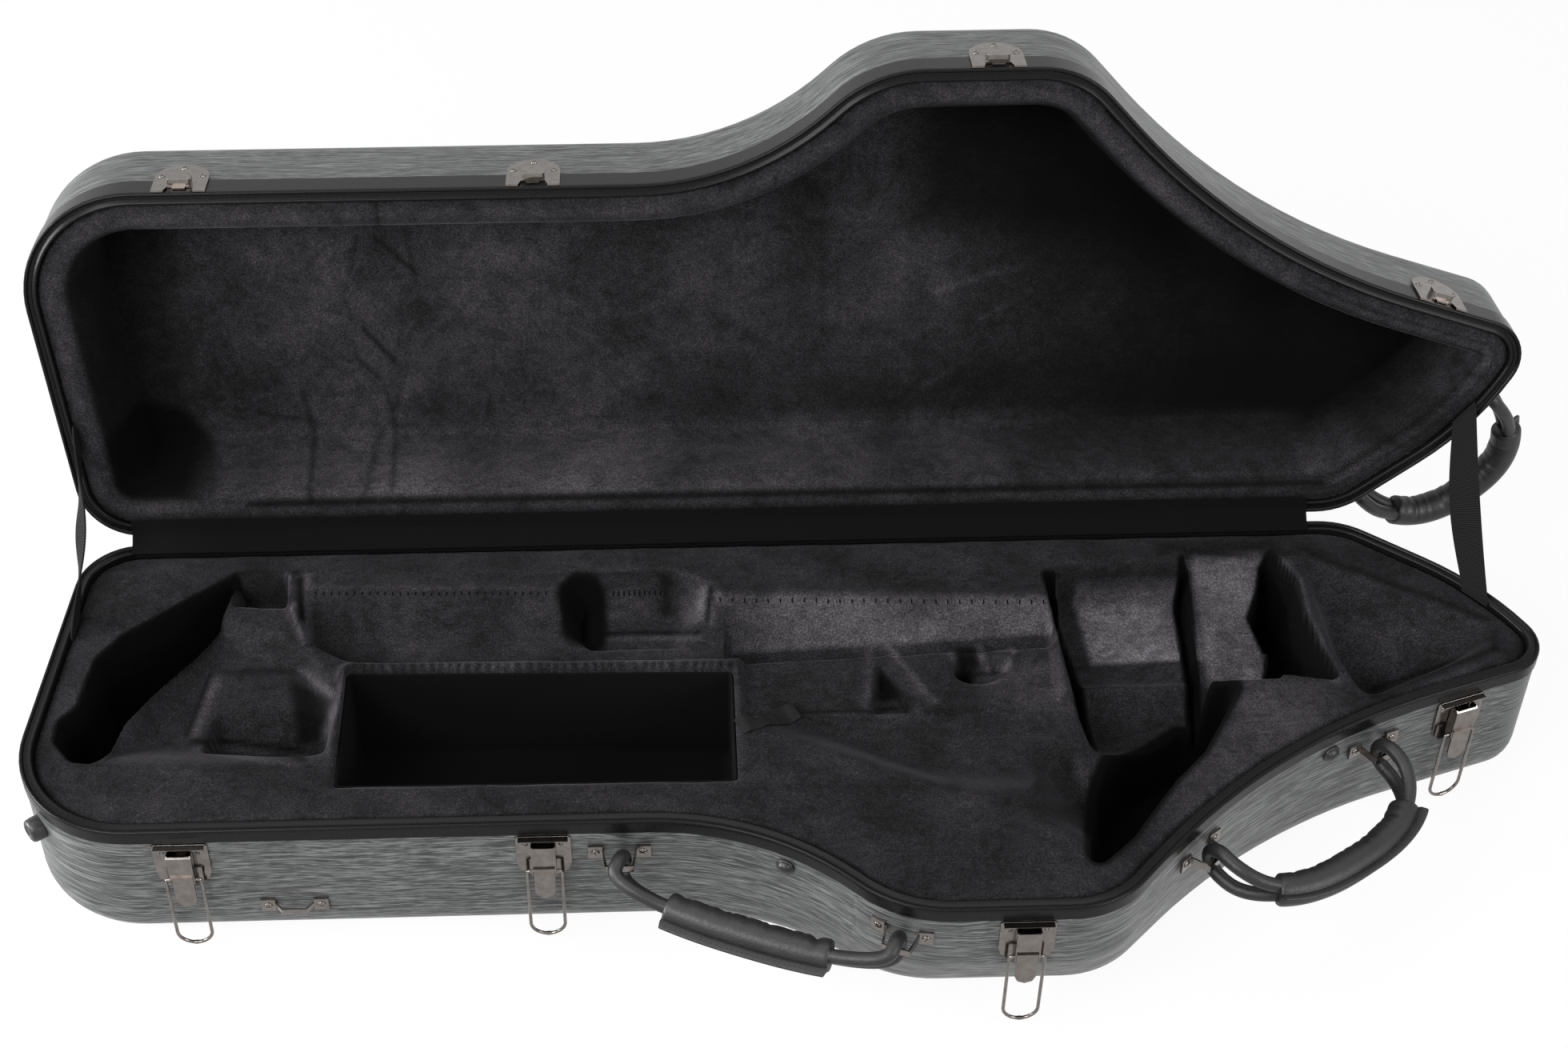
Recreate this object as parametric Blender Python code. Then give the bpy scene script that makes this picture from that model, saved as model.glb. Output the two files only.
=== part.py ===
"""Hard case for a baritone saxophone, open: base, lid, lining, latches and handles as separate pieces.

Metres, +Z up. The case stands on its flat underside at z = 0, the latches face -Y and the hinge is at +Y.
Both halves are drawn in the seam frame: its origin is on the hinge axis, in the plane where the rims meet,
y is minus the distance forward of the hinge, and the base lies below z = 0 and the closed lid above it.
The lid's empty then turns the lid open about the hinge axis.
"""

import math

import bmesh
import bpy
from mathutils import Matrix, Vector

# Whole case
LENGTH = 1.180
WIDTH = 0.399
BASE_HEIGHT = 0.130
LID_HEIGHT = 0.108
LID_OPEN_DEGREES = 102.6
HINGE_Y = 0.200

# Clearances and drawing
GAP = 0.0003
LINING_GAP = 0.0010
CURVED_GAP = 0.0006
SEAM_GAP = 0.0004
CUT_OVERRUN = 0.020
CHORD_ERROR = 0.0010
LEAST_FILLET = 0.0015
FILLET_SHARE = 0.995
SHARP_DEGREES = 32.0
STEEP_SHARE = 0.9

# Shells
SHELL_WALL = 0.0035
EDGE_INSET = 0.031
BASE_STRAIGHT = 0.098
LID_STRAIGHT = 0.078
BELL_STRAIGHT = 0.064
BELL_SINK = 0.026
EDGE_STEPS = 3
SINK_STEPS = 2

# Rims: how far they stand proud, how wide and tall they are
RIM_PROUD = 0.0012
RIM_WIDTH = 0.0090
RIM_EASE = 0.0016
BASE_RIM_HEIGHT = 0.0130
LID_RIM_HEIGHT = 0.0240

# Outline of both halves at the seam, from the back left corner along the left end and the front.
# Each corner is a share of the length and of the width forward of the back wall, with its radius as
# a share of the width.
OUTLINE_SHARES = (
    (-0.4842, 0.0000, 0.120),
    (-0.5108, 0.7552, 0.223),
    (-0.0296, 0.7589, 0.550),
    (0.0515, 0.9845, 0.250),
    (0.1858, 0.9865, 0.185),
    (0.3054, 0.5968, 1.370),
    (0.5111, 0.3990, 0.085),
    (0.4736, 0.1905, 0.580),
    (0.3875, 0.0000, 0.158),
)
BELL_CORNERS = (3, 4)

# Lining of the base. Each pocket has a depth and a floor radius as shares of the lining's height,
# and corners as shares of the length and of the width forward of the hinge, anticlockwise from above.
INSERT_DROP = 0.0040
POCKET_RADIUS = 0.0100
POCKET_FLOOR = 0.0100
POCKET_STEPS = 2
POCKET_SHARES = {
    "crook_trench": (0.96, 0.10, ((-0.383, 0.085), (-0.417, 0.150), (-0.462, 0.300), (-0.489, 0.490),
                                  (-0.475, 0.582), (-0.434, 0.582), (-0.424, 0.430), (-0.383, 0.255))),
    "crook_step": (0.30, 0.08, ((-0.390, 0.085), (-0.390, 0.180), (-0.338, 0.180), (-0.338, 0.085))),
    "crook_shelf": (0.22, 0.10, ((-0.430, 0.230), (-0.440, 0.560), (-0.312, 0.600), (-0.335, 0.200))),
    "mouthpiece_pocket": (0.62, 0.16, ((-0.388, 0.382), (-0.393, 0.530), (-0.312, 0.572), (-0.307, 0.450),
                                       (-0.330, 0.378))),
    "body_channel": (0.55, 0.24, ((-0.332, 0.150), (-0.326, 0.330), (-0.040, 0.345), (0.172, 0.325),
                                  (0.172, 0.205), (-0.160, 0.165))),
    "key_pocket": (0.84, 0.16, ((-0.158, 0.115), (-0.156, 0.290), (-0.062, 0.290), (-0.062, 0.130))),
    "key_plateau": (0.13, 0.05, ((-0.038, 0.335), (-0.038, 0.520), (0.180, 0.520), (0.180, 0.315))),
    "bow_trough": (0.42, 0.18, ((-0.036, 0.505), (-0.036, 0.700), (0.100, 0.712), (0.178, 0.800),
                                (0.230, 0.700), (0.240, 0.490))),
    "block_recess": (0.62, 0.08, ((0.170, 0.128), (0.170, 0.520), (0.268, 0.520), (0.268, 0.128))),
    "bell_saddle": (0.36, 0.08, ((0.258, 0.085), (0.258, 0.500), (0.318, 0.445), (0.318, 0.075))),
    "bell_gap": (0.90, 0.06, ((0.312, 0.070), (0.306, 0.440), (0.356, 0.440), (0.346, 0.075))),
    "bell_pit": (0.96, 0.16, ((0.172, 0.490), (0.176, 0.870), (0.190, 0.895), (0.300, 0.440),
                              (0.262, 0.420))),
    "neck_pocket": (0.72, 0.16, ((0.352, 0.090), (0.358, 0.490), (0.380, 0.498), (0.476, 0.375),
                                 (0.462, 0.300), (0.385, 0.110))),
}
COMPARTMENT_SHARES = ((-0.3000, 0.370), (-0.3010, 0.664), (-0.0440, 0.672), (-0.0440, 0.388))
COMPARTMENT_DEPTH = 0.0950
LINER_WALL = 0.0020

# Lining of the lid, from its rim to its floor
LIP_DROP = 0.0030
LIP_WIDTH = 0.0200
LIP_SLOPE = 0.0060
LID_WALL_SLOPE = 0.0080
LID_FLOOR_RADIUS = 0.0120
LID_PADDING = 0.0120

# Piano hinge, and the plush strip that covers it
HINGE_LEFT = 0.536
HINGE_RIGHT = 0.428
KNUCKLE_PAIRS = 4
KNUCKLE_RADIUS = 0.0025
KNUCKLE_SIDES = 10
KNUCKLE_GAP = 0.0004
PIN_RADIUS = 0.0010
LEAF_THICKNESS = 0.0014
LEAF_BITE_SHARE = 0.835
LEAF_HEIGHT = 0.0120
FLAP_THICKNESS = 0.0016
FLAP_BASE_REACH = 0.0165
FLAP_LID_REACH = 0.0190
FLAP_FOLD = 0.0060
FLAP_FOLD_REACH = 0.0090

# Drop latches
LATCH_SHARES = (-0.3955, -0.1682, 0.1311, 0.4397)
PLATE_WIDTH = 0.0412
PLATE_HEIGHT = 0.0450
PLATE_THICKNESS = 0.0015
PLATE_CORNER = 0.0150
PLATE_TOP_CORNER = 0.0020
PLATE_BELOW_RIM = 0.0015
PLATE_LIP = 0.0050
RIVET_RADIUS = 0.0030
RIVET_HEIGHT = 0.0012
RIVET_SIDES = 8
RIVET_INSET = 0.0062
HEAD_SIDE_SHARE = 0.55
HEAD_TOP_SHARE = 0.72
LUG_WIDTH = 0.0090
LUG_HALF_HEIGHT = 0.0013
LEVER_WIDTH = 0.0183
LEVER_WALL = 0.0010
LEVER_PIVOT_DROP = 0.0075
LEVER_PIVOT_OUT = 0.0055
LEVER_PIN_RADIUS = 0.0010
LEVER_PIN_HEAD = 0.0006
LEVER_BACK = 0.0048
LEVER_FRONT = 0.0040
LEVER_TOP = 0.0042
LEVER_BEVEL = 0.0016
LEVER_BOX = 0.0180
LEVER_CHEEK = 0.0275
LEVER_CHEEK_FRONT = 0.0034
LEVER_TAB = 0.0355
LEVER_TAB_WIDTH = 0.0156
LEVER_TAB_THICKNESS = 0.0014
LEVER_RIDGE = 0.0014
LEVER_RIDGE_HEIGHT = 0.0024
BAIL_RADIUS = 0.00135
BAIL_SIDES = 6
BAIL_WIDTH = 0.0288
BAIL_PIVOT_DROP = 0.0245
BAIL_PIVOT_OUT = 0.0010
BAIL_BEND = 0.0022
BAIL_BEND_STEPS = 3
BAIL_TURN_STEPS = 8
BAIL_SLACK = 0.0015

# Catches on the lid
CATCH_HEIGHT = 0.047
CATCH_ABOVE_SEAM = 0.0020
CATCH_RISE_SHARE = 0.56
DOME_STEPS = 8
PAD_SHARE = 0.90
SCREW_RADIUS = 0.0024
SCREW_INSET = 0.0052
BOSS_WIDTH = 0.0178
BOSS_BOTTOM = 0.0100
BOSS_TOP = 0.0265
BOSS_HEIGHT = 0.0050
BOSS_TOP_CORNER = 0.0078
NOTCH_WIDTH = 0.0225
NOTCH_TOP_WIDTH = 0.0180
NOTCH_HEIGHT = 0.0070
TONGUE_WIDTH = 0.0100
TONGUE_HEIGHT = 0.0034

# Handles: a leather rope loops round the bar of a metal arch at each end, with a padded grip between.
# The rope bears on a boss behind the bar, which reaches as far as the bar's corners do.
ARCH_DROP = 0.0340
ARCH_HALF_SPAN = 0.0100
ARCH_OUT = 0.0180
ARCH_BAR = 0.0015
ARCH_HEIGHT = 0.0065
BOSS_RINGS = 3
EAR_OFFSET = 0.0180
EAR_LENGTH = 0.0110
EAR_HEIGHT = 0.0130
EAR_THICKNESS = 0.0019
ROPE_RADIUS = 0.0054
ROPE_SIDES = 6
EYE_STEPS = 14
EYE_LENGTH = 0.0560
EYE_HALF_WIDTH = 0.0125
EYE_NECK = 0.0058
EYE_TURN_SHARE = 0.22
EYE_NARROWING_SHARE = 0.35
EYE_CROWDING_SHARE = 0.7407
GRIP_RADIUS = 0.0125
GRIP_SIDES = 10
GRIP_STEPS = 12
FIN_ROOT_SHARE = 0.97
FIN_REACH = 0.0070
FIN_THICKNESS = 0.0030
FIN_TURN_DEGREES = 35.0
HANDLE_POWER_SHARE = 0.8333
PATH_STEPS = 96

# Where each handle's arches are, as shares of the length, how far it bows out, and its angle below level
FRONT_ARCH_SHARES = (-0.1203, 0.0546)
FRONT_BOW = 0.0200
FRONT_DROOP_DEGREES = 35.0
SIDE_ARCH_SHARES = (0.2481, 0.3774)
SIDE_BOW = 0.0580
SIDE_DROOP_DEGREES = 8.0
REAR_ARCH_SHARES = (0.4000, 0.4800)
REAR_ARCH_RISE = 0.0440
REAR_BOW = 0.0820
REAR_DROOP_DEGREES = -15.0

# Small fittings
STUD_SHARES = (-0.0161, 0.3458)
STUD_DROP = 0.0250
STUD_RADIUS = 0.0074
STUD_HEIGHT = 0.0055
STUD_TOP_SHARE = 0.55
STUD_SIDES = 12
FOOT_DROP = 0.0340
FOOT_FORWARD_SHARE = 0.6767
FOOT_RADIUS = 0.0095
FOOT_HEIGHT = 0.0110
STRAP_PLATE_SHARE = -0.3297
STRAP_PLATE_DROP = 0.0880
STRAP_ARCH_OUT = 0.0078
STRAP_ARCH_HALF_SPAN = 0.0090
STRAP_ARCH_HEIGHT = 0.0090
STRAP_EAR_OFFSET = 0.0200

# Stay straps, measured along the wall, and the ribbon beside the compartment
STAY_FORWARD_SHARE = 0.2381
STAY_WIDTH = 0.0320
STAY_THICKNESS = 0.0014
STAY_BOW = 0.0040
STAY_STEPS = 6
PULL_WIDTH = 0.0180
PULL_LENGTH = 0.0500
PULL_THICKNESS = 0.0012
PULL_INSET = 0.0150
PULL_FORWARD_SHARE = 0.4712

# Colour, roughness and metallic value of each finish
FINISHES = {
    "shell": ((0.060, 0.064, 0.066, 1.0), 0.38, 0.35),
    "rim": ((0.008, 0.008, 0.009, 1.0), 0.30, 0.10),
    "plush": ((0.018, 0.016, 0.019, 1.0), 0.95, 0.00),
    "black_cloth": ((0.004, 0.004, 0.005, 1.0), 0.90, 0.00),
    "smoked_nickel": ((0.250, 0.225, 0.205, 1.0), 0.22, 1.00),
    "leather": ((0.012, 0.012, 0.013, 1.0), 0.50, 0.00),
    "webbing": ((0.015, 0.015, 0.015, 1.0), 0.85, 0.00),
    "rubber": ((0.010, 0.010, 0.010, 1.0), 0.45, 0.00),
}


def clear_scene():
    for item in list(bpy.data.objects):
        bpy.data.objects.remove(item, do_unlink=True)


def finish(name):
    """The material of this name, made on its first use."""
    found = bpy.data.materials.get(name)
    if found:
        return found
    colour, roughness, metallic = FINISHES[name]
    made = bpy.data.materials.new(name)
    made.use_nodes = True
    shader = made.node_tree.nodes["Principled BSDF"]
    shader.inputs["Base Color"].default_value = colour
    shader.inputs["Roughness"].default_value = roughness
    shader.inputs["Metallic"].default_value = metallic
    made.diffuse_color = colour
    return made


def new_object(name, mesh):
    made = bpy.data.objects.new(name, mesh)
    bpy.context.scene.collection.objects.link(made)
    return made


def from_bmesh(name, shape):
    """An object that holds this closed shape, with its faces turned outward."""
    bmesh.ops.recalc_face_normals(shape, faces=shape.faces)
    mesh = bpy.data.meshes.new(name)
    shape.to_mesh(mesh)
    shape.free()
    return new_object(name, mesh)


def loft(name, rings, closed=False):
    """A solid through rings of equal length, capped at both ends or, when closed, joined end to end."""
    shape = bmesh.new()
    loops = [[shape.verts.new(point) for point in ring] for ring in rings]
    pairs = list(zip(loops, loops[1:]))
    if closed:
        pairs.append((loops[-1], loops[0]))
    for low, high in pairs:
        for index, corner in enumerate(low):
            following = (index + 1) % len(low)
            shape.faces.new((corner, low[following], high[following], high[index]))
    if not closed:
        shape.faces.new(list(reversed(loops[0])))
        shape.faces.new(loops[-1])
    return from_bmesh(name, shape)


def prism(name, points, low, high, along):
    """A flat outline drawn square to one axis and drawn out along it from low to high."""
    places = {
        "X": lambda point, depth: (depth, point[0], point[1]),
        "Y": lambda point, depth: (point[0], depth, point[1]),
        "Z": lambda point, depth: (point[0], point[1], depth),
    }
    rings = [[places[along](point, depth) for point in points] for depth in (low, high)]
    return loft(name, rings)


def box(name, low, high):
    plan = ((low[0], low[1]), (high[0], low[1]), (high[0], high[1]), (low[0], high[1]))
    return prism(name, plan, low[2], high[2], "Z")


def button(name, centre, radius, base, height, sides, top_share=HEAD_TOP_SHARE):
    """A round head that stands out toward -Y, such as a rivet, from y = base."""
    rings = []
    for share, out in ((1.0, 0.0), (1.0, HEAD_SIDE_SHARE), (top_share, 1.0)):
        rings.append([
            (
                centre[0] + radius * share * math.cos(math.tau * step / sides),
                base - height * out,
                centre[1] + radius * share * math.sin(math.tau * step / sides),
            )
            for step in range(sides)
        ])
    return loft(name, rings)


def rod(name, start, end, radius, sides):
    """A round bar between two points."""
    return tube(name, [Vector(start), Vector(end)], radius, sides)


def frames_along(points, closed):
    """A tangent and two normals at each point, with as little twist as the path allows."""
    count = len(points)
    tangents = []
    for index in range(count):
        before = points[index - 1] if closed or index else points[index]
        after = points[(index + 1) % count] if closed or index + 1 < count else points[index]
        tangents.append((after - before).normalized())
    reference = Vector((0, 0, 1)) if abs(tangents[0].z) < STEEP_SHARE else Vector((0, 1, 0))
    normal = (reference - tangents[0] * reference.dot(tangents[0])).normalized()
    found = []
    for tangent in tangents:
        normal = (normal - tangent * normal.dot(tangent)).normalized()
        found.append((tangent, normal, tangent.cross(normal)))
    return found


def tube(name, points, radius, sides, closed=False):
    rings = []
    for point, (_, normal, binormal) in zip(points, frames_along(points, closed)):
        ring = []
        for step in range(sides):
            angle = math.tau * (step + 0.5) / sides
            ring.append(point + (normal * math.cos(angle) + binormal * math.sin(angle)) * radius)
        rings.append(ring)
    return loft(name, rings, closed)


def bake(target, others, operation, solver="EXACT"):
    """Applies a Boolean with each of the other solids, and removes them."""
    for other in others:
        modifier = target.modifiers.new(operation, "BOOLEAN")
        modifier.operation = operation
        modifier.solver = solver
        modifier.object = other
    graph = bpy.context.evaluated_depsgraph_get()
    mesh = bpy.data.meshes.new_from_object(target.evaluated_get(graph))
    target.modifiers.clear()
    target.data = mesh
    for other in others:
        bpy.data.objects.remove(other, do_unlink=True)
    return target


def join(solids):
    return bake(solids[0], solids[1:], "UNION")


def cut(target, cutters, solver="EXACT"):
    return bake(target, cutters, "DIFFERENCE", solver)


def shade(item):
    item.data.shade_smooth()
    item.data.set_sharp_from_angle(angle=math.radians(SHARP_DEGREES))


def place(item, name, finish_name, parent, matrix=None):
    """Names a finished solid, gives it its finish and puts it in its half of the case."""
    item.name = name
    item.data.name = name
    item.data.materials.clear()
    item.data.materials.append(finish(finish_name))
    item.parent = parent
    if matrix is not None:
        item.matrix_local = matrix
    shade(item)
    return item


def meet(first, second):
    """Where two lines cross; each is a point and a direction."""
    (point, along), (other, across) = first, second
    turn = along.x * across.y - along.y * across.x
    gap = other - point
    return point + along * ((gap.x * across.y - gap.y * across.x) / turn)


def offset_corners(corners, inset):
    """The corners of an anticlockwise loop after all its sides have moved inward."""
    sides = []
    for index, corner in enumerate(corners):
        along = (corners[(index + 1) % len(corners)] - corner).normalized()
        sides.append((corner + Vector((-along.y, along.x)) * inset, along))
    return [meet(sides[index - 1], sides[index]) for index in range(len(sides))]


def fillet(before, corner, after, tangent, steps):
    """Points of the arc that rounds one corner, from this far before it to as far after it."""
    back = (before - corner).normalized()
    ahead = (after - corner).normalized()
    half_turn = (math.pi - back.angle(ahead)) / 2
    radius = tangent / math.tan(half_turn)
    centre = corner + (back + ahead).normalized() * radius / math.cos(half_turn)
    start = corner + back * tangent - centre
    sense = 1 if (-back).cross(ahead) > 0 else -1
    turned = []
    for step in range(steps + 1):
        angle = sense * 2 * half_turn * step / steps
        turned.append(centre + Matrix.Rotation(angle, 2) @ start)
    return turned


def arc_steps(corners, radii):
    """How many sides draw the arc at each corner of a loop, within the chord error."""
    steps = []
    for index, radius in enumerate(radii):
        corner = Vector(corners[index])
        ahead = Vector(corners[(index + 1) % len(corners)]) - corner
        turn = math.pi - (Vector(corners[index - 1]) - corner).angle(ahead)
        steps.append(max(1, math.ceil(turn / (2 * math.acos(1 - min(CHORD_ERROR / radius, 1))))))
    return steps


def tangents_of(corners, radii):
    """How far each arc reaches along its sides, shortened alike where two of them would meet."""
    count = len(corners)
    reaches = []
    for index, radius in enumerate(radii):
        back = corners[index - 1] - corners[index]
        ahead = corners[(index + 1) % count] - corners[index]
        reaches.append(radius * math.tan((math.pi - back.angle(ahead)) / 2))
    limits = []
    for index in range(count):
        following = (index + 1) % count
        side = (corners[following] - corners[index]).length * FILLET_SHARE
        limits.append(min(1.0, side / (reaches[index] + reaches[following])))
    return [reach * min(limits[index - 1], limits[index]) for index, reach in enumerate(reaches)]


def rounded(corners, radii, inset=0.0, steps=None):
    """An anticlockwise loop with rounded corners, moved inward; its point count stays the same."""
    steps = steps or arc_steps(corners, radii)
    corners = [Vector(corner) for corner in corners]
    moved = offset_corners(corners, inset)
    count = len(moved)
    drawn = []
    for index, radius in enumerate(radii):
        ahead = corners[(index + 1) % count] - corners[index]
        inward = (corners[index] - corners[index - 1]).cross(ahead) > 0
        drawn.append(max(radius - inset if inward else radius + inset, LEAST_FILLET))
    points = []
    for index, tangent in enumerate(tangents_of(moved, drawn)):
        points += fillet(moved[index - 1], moved[index], moved[(index + 1) % count], tangent, steps[index])
    return points


def back_of_rim():
    """How far the rim's back face is from the hinge axis: a leaf's thickness past the knuckles' bite."""
    return KNUCKLE_RADIUS * LEAF_BITE_SHARE + LEAF_THICKNESS + GAP


def back_wall():
    return back_of_rim() + RIM_PROUD


def outline(inset=0.0, sink=0.0):
    """The case's outline at the seam, moved inward, with the bell's front drawn back by sink."""
    corners = [(x * LENGTH, -back_wall() - forward * WIDTH) for x, forward, _ in OUTLINE_SHARES]
    radii = [radius_share * WIDTH for _, _, radius_share in OUTLINE_SHARES]
    steps = arc_steps(corners, radii)
    for index in BELL_CORNERS:
        corners[index] = (corners[index][0], corners[index][1] + sink)
    return rounded(corners, radii, inset, steps)


def ring(inset, z, sink=0.0):
    return [Vector((point.x, point.y, z)) for point in outline(inset, sink)]


def wall_frame(x, z, back=False, out=0.0):
    """Where a piece seats on the wall at x: local X runs along the wall, -Y points out and Z is up."""
    points = outline()
    best = None
    for start, end in zip(points, points[1:] + points[:1]):
        if min(start.x, end.x) <= x < max(start.x, end.x):
            spot = start.lerp(end, (x - start.x) / (end.x - start.x))
            if best is None or (spot.y > best[0].y) == back:
                best = (spot, (end - start).normalized())
    spot, along = best
    inward = Vector((-along.y, along.x))
    frame = Matrix.Identity(4)
    frame.col[0][:3] = (along.x, along.y, 0)
    frame.col[1][:3] = (inward.x, inward.y, 0)
    frame.translation = (spot.x - inward.x * out, spot.y - inward.y * out, z)
    return frame


def wall_levels(height, straight, wall, sink):
    """Depth, inset and sink of the rings below the rim, down to the floor."""
    levels = []
    if sink:
        for step in range(SINK_STEPS + 1):
            lower = (straight - BELL_STRAIGHT) * step / SINK_STEPS
            levels.append((BELL_STRAIGHT + lower, wall, sink * lower / (height - BELL_STRAIGHT)))
    else:
        levels.append((straight, wall, 0.0))
    for step in range(1, EDGE_STEPS + 1):
        angle = math.pi / 2 * step / EDGE_STEPS
        depth = straight + (height - wall - straight) * math.sin(angle)
        outer_depth = straight + (height - straight) * math.sin(angle)
        drawn = sink * (outer_depth - BELL_STRAIGHT) / (height - BELL_STRAIGHT) if sink else 0.0
        levels.append((depth, wall + (EDGE_INSET - wall) * (1 - math.cos(angle)), drawn))
    return levels


def shell(name, height, straight, rim_height, sink, up):
    """A moulded tray: its outer skin from the floor to the rim, and its inner skin back to the floor."""
    top = rim_height + GAP
    outer = [ring(0.0, up * top)]
    outer += [
        ring(inset, up * depth, drawn)
        for depth, inset, drawn in wall_levels(height, straight, 0.0, sink)
    ]
    inner = [ring(SHELL_WALL, up * top)]
    inner += [
        ring(inset, up * depth, drawn)
        for depth, inset, drawn in wall_levels(height, straight, SHELL_WALL, sink)
    ]
    return loft(name, outer[::-1] + inner)


def rim(name, rim_height, up):
    section = (
        (-RIM_PROUD, rim_height),
        (-RIM_PROUD, SEAM_GAP + RIM_EASE),
        (RIM_EASE - RIM_PROUD, SEAM_GAP),
        (RIM_WIDTH - RIM_EASE, SEAM_GAP),
        (RIM_WIDTH, SEAM_GAP + RIM_EASE),
        (RIM_WIDTH, rim_height),
    )
    return loft(name, [ring(inset, up * depth) for inset, depth in section], closed=True)


def lining_skin(height, straight, rim_height, drop, sink, up):
    """Rings of a lining's outside, from its floor up to its edge inside the rim."""
    under_rim = rim_height + GAP
    beside_shell = SHELL_WALL + LINING_GAP
    rings = [
        ring(inset, up * depth, drawn)
        for depth, inset, drawn in reversed(wall_levels(height, straight, beside_shell, sink))
    ]
    rings.append(ring(beside_shell, up * under_rim))
    rings.append(ring(RIM_WIDTH + GAP, up * under_rim))
    rings.append(ring(RIM_WIDTH + GAP, up * drop))
    return rings


def pocket(name, depth, floor_radius, corners):
    """A cutter with rounded corners and a rounded floor, open upward."""
    places = [(x * LENGTH, -forward * WIDTH) for x, forward in corners]
    radii = [POCKET_RADIUS] * len(places)
    rings = [[Vector((p.x, p.y, CUT_OVERRUN)) for p in rounded(places, radii)]]
    for step in range(POCKET_STEPS + 1):
        angle = math.pi / 2 * step / POCKET_STEPS
        inset = floor_radius * (1 - math.cos(angle))
        z = -INSERT_DROP - depth + floor_radius * (1 - math.sin(angle))
        rings.append([Vector((p.x, p.y, z)) for p in rounded(places, radii, inset)])
    return loft(name, rings)


def compartment_ring(inset, z):
    places = [(x * LENGTH, -forward * WIDTH) for x, forward in COMPARTMENT_SHARES]
    radii = [POCKET_RADIUS / 2] * len(places)
    return [Vector((p.x, p.y, z)) for p in rounded(places, radii, inset)]


def base_insert():
    """The plush block with its pockets for the instrument."""
    skin = lining_skin(BASE_HEIGHT, BASE_STRAIGHT, BASE_RIM_HEIGHT, INSERT_DROP, BELL_SINK, -1)
    block = loft("base_insert", skin)
    room = BASE_HEIGHT - SHELL_WALL - LINING_GAP - INSERT_DROP - POCKET_FLOOR
    cutters = [
        pocket(name, depth * room, radius * room, corners)
        for name, (depth, radius, corners) in POCKET_SHARES.items()
    ]
    floor = -INSERT_DROP - COMPARTMENT_DEPTH - LINER_WALL - GAP
    cutters.append(loft("compartment", [compartment_ring(0.0, CUT_OVERRUN), compartment_ring(0.0, floor)]))
    # The exact solver empties the block at the pocket that crosses the body channel's side.
    return cut(block, cutters, "MANIFOLD")


def compartment_liner():
    floor = -INSERT_DROP - COMPARTMENT_DEPTH
    return loft("compartment_liner", [
        compartment_ring(GAP, floor - LINER_WALL),
        compartment_ring(GAP, -INSERT_DROP),
        compartment_ring(GAP + LINER_WALL, -INSERT_DROP),
        compartment_ring(GAP + LINER_WALL, floor),
    ])


def lid_lining():
    """The lid's plush tray: a raised lip inside the rim, then walls that slope down to a flat floor."""
    rings = lining_skin(LID_HEIGHT, LID_STRAIGHT, LID_RIM_HEIGHT, LIP_DROP, 0.0, 1)
    inner = RIM_WIDTH + GAP + LIP_WIDTH
    floor = LID_HEIGHT - SHELL_WALL - LINING_GAP - LID_PADDING
    lip = LIP_DROP + LIP_SLOPE
    rings.append(ring(inner - LIP_WIDTH / 2, LIP_DROP + LIP_SLOPE / 4))
    rings.append(ring(inner, lip))
    rings.append(ring(inner + LID_WALL_SLOPE / 4, lip + LIP_WIDTH / 2))
    rings.append(ring(inner + LID_WALL_SLOPE, floor - LID_FLOOR_RADIUS))
    rings.append(ring(inner + LID_WALL_SLOPE + LID_FLOOR_RADIUS / 3, floor - LID_FLOOR_RADIUS / 3))
    rings.append(ring(inner + LID_WALL_SLOPE + LID_FLOOR_RADIUS, floor))
    return loft("lid_lining", rings)


def hinge_leaf(name, first, up):
    """One leaf with its knuckles, every second one along the axis, seated on the rim's back face."""
    span = (HINGE_LEFT + HINGE_RIGHT) / (2 * KNUCKLE_PAIRS)
    far = back_of_rim() - GAP
    near = far - LEAF_THICKNESS
    clear = KNUCKLE_RADIUS + KNUCKLE_GAP
    low, high = sorted((up * clear, up * LEAF_HEIGHT))
    solids = [box(name, (-HINGE_LEFT, -far, low), (HINGE_RIGHT, -near, high))]
    for index in range(first, 2 * KNUCKLE_PAIRS, 2):
        start = -HINGE_LEFT + index * span + KNUCKLE_GAP / 2
        end = start + span - KNUCKLE_GAP
        low, high = sorted((up * SEAM_GAP, up * (clear + LEAF_THICKNESS)))
        solids.append(box("tab", (start, -far, low), (end, -near, high)))
        solids.append(rod("knuckle", (start, 0, 0), (end, 0, 0), KNUCKLE_RADIUS, KNUCKLE_SIDES))
    reach = HINGE_LEFT + CUT_OVERRUN
    bore = rod("bore", (-reach, 0, 0), (reach, 0, 0), PIN_RADIUS + GAP, KNUCKLE_SIDES)
    return cut(join(solids), [bore])


def hinge_pin():
    return rod("hinge_pin", (-HINGE_LEFT, 0, 0), (HINGE_RIGHT, 0, 0), PIN_RADIUS, KNUCKLE_SIDES)


def band(points, thickness):
    """Both edges of a strip that is bent along these points, as one closed outline."""
    points = [Vector(point) for point in points]
    sides = []
    for start, end in zip(points, points[1:]):
        along = (end - start).normalized()
        sides.append((start, end, along, Vector((-along.y, along.x)) * thickness / 2))
    edges = []
    for sense in (1, -1):
        edge = [sides[0][0] + sides[0][3] * sense]
        for one, other in zip(sides, sides[1:]):
            edge.append(meet((one[0] + one[3] * sense, one[2]), (other[0] + other[3] * sense, other[2])))
        edge.append(sides[-1][1] + sides[-1][3] * sense)
        edges.append(edge)
    return edges[0] + edges[1][::-1]


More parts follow.
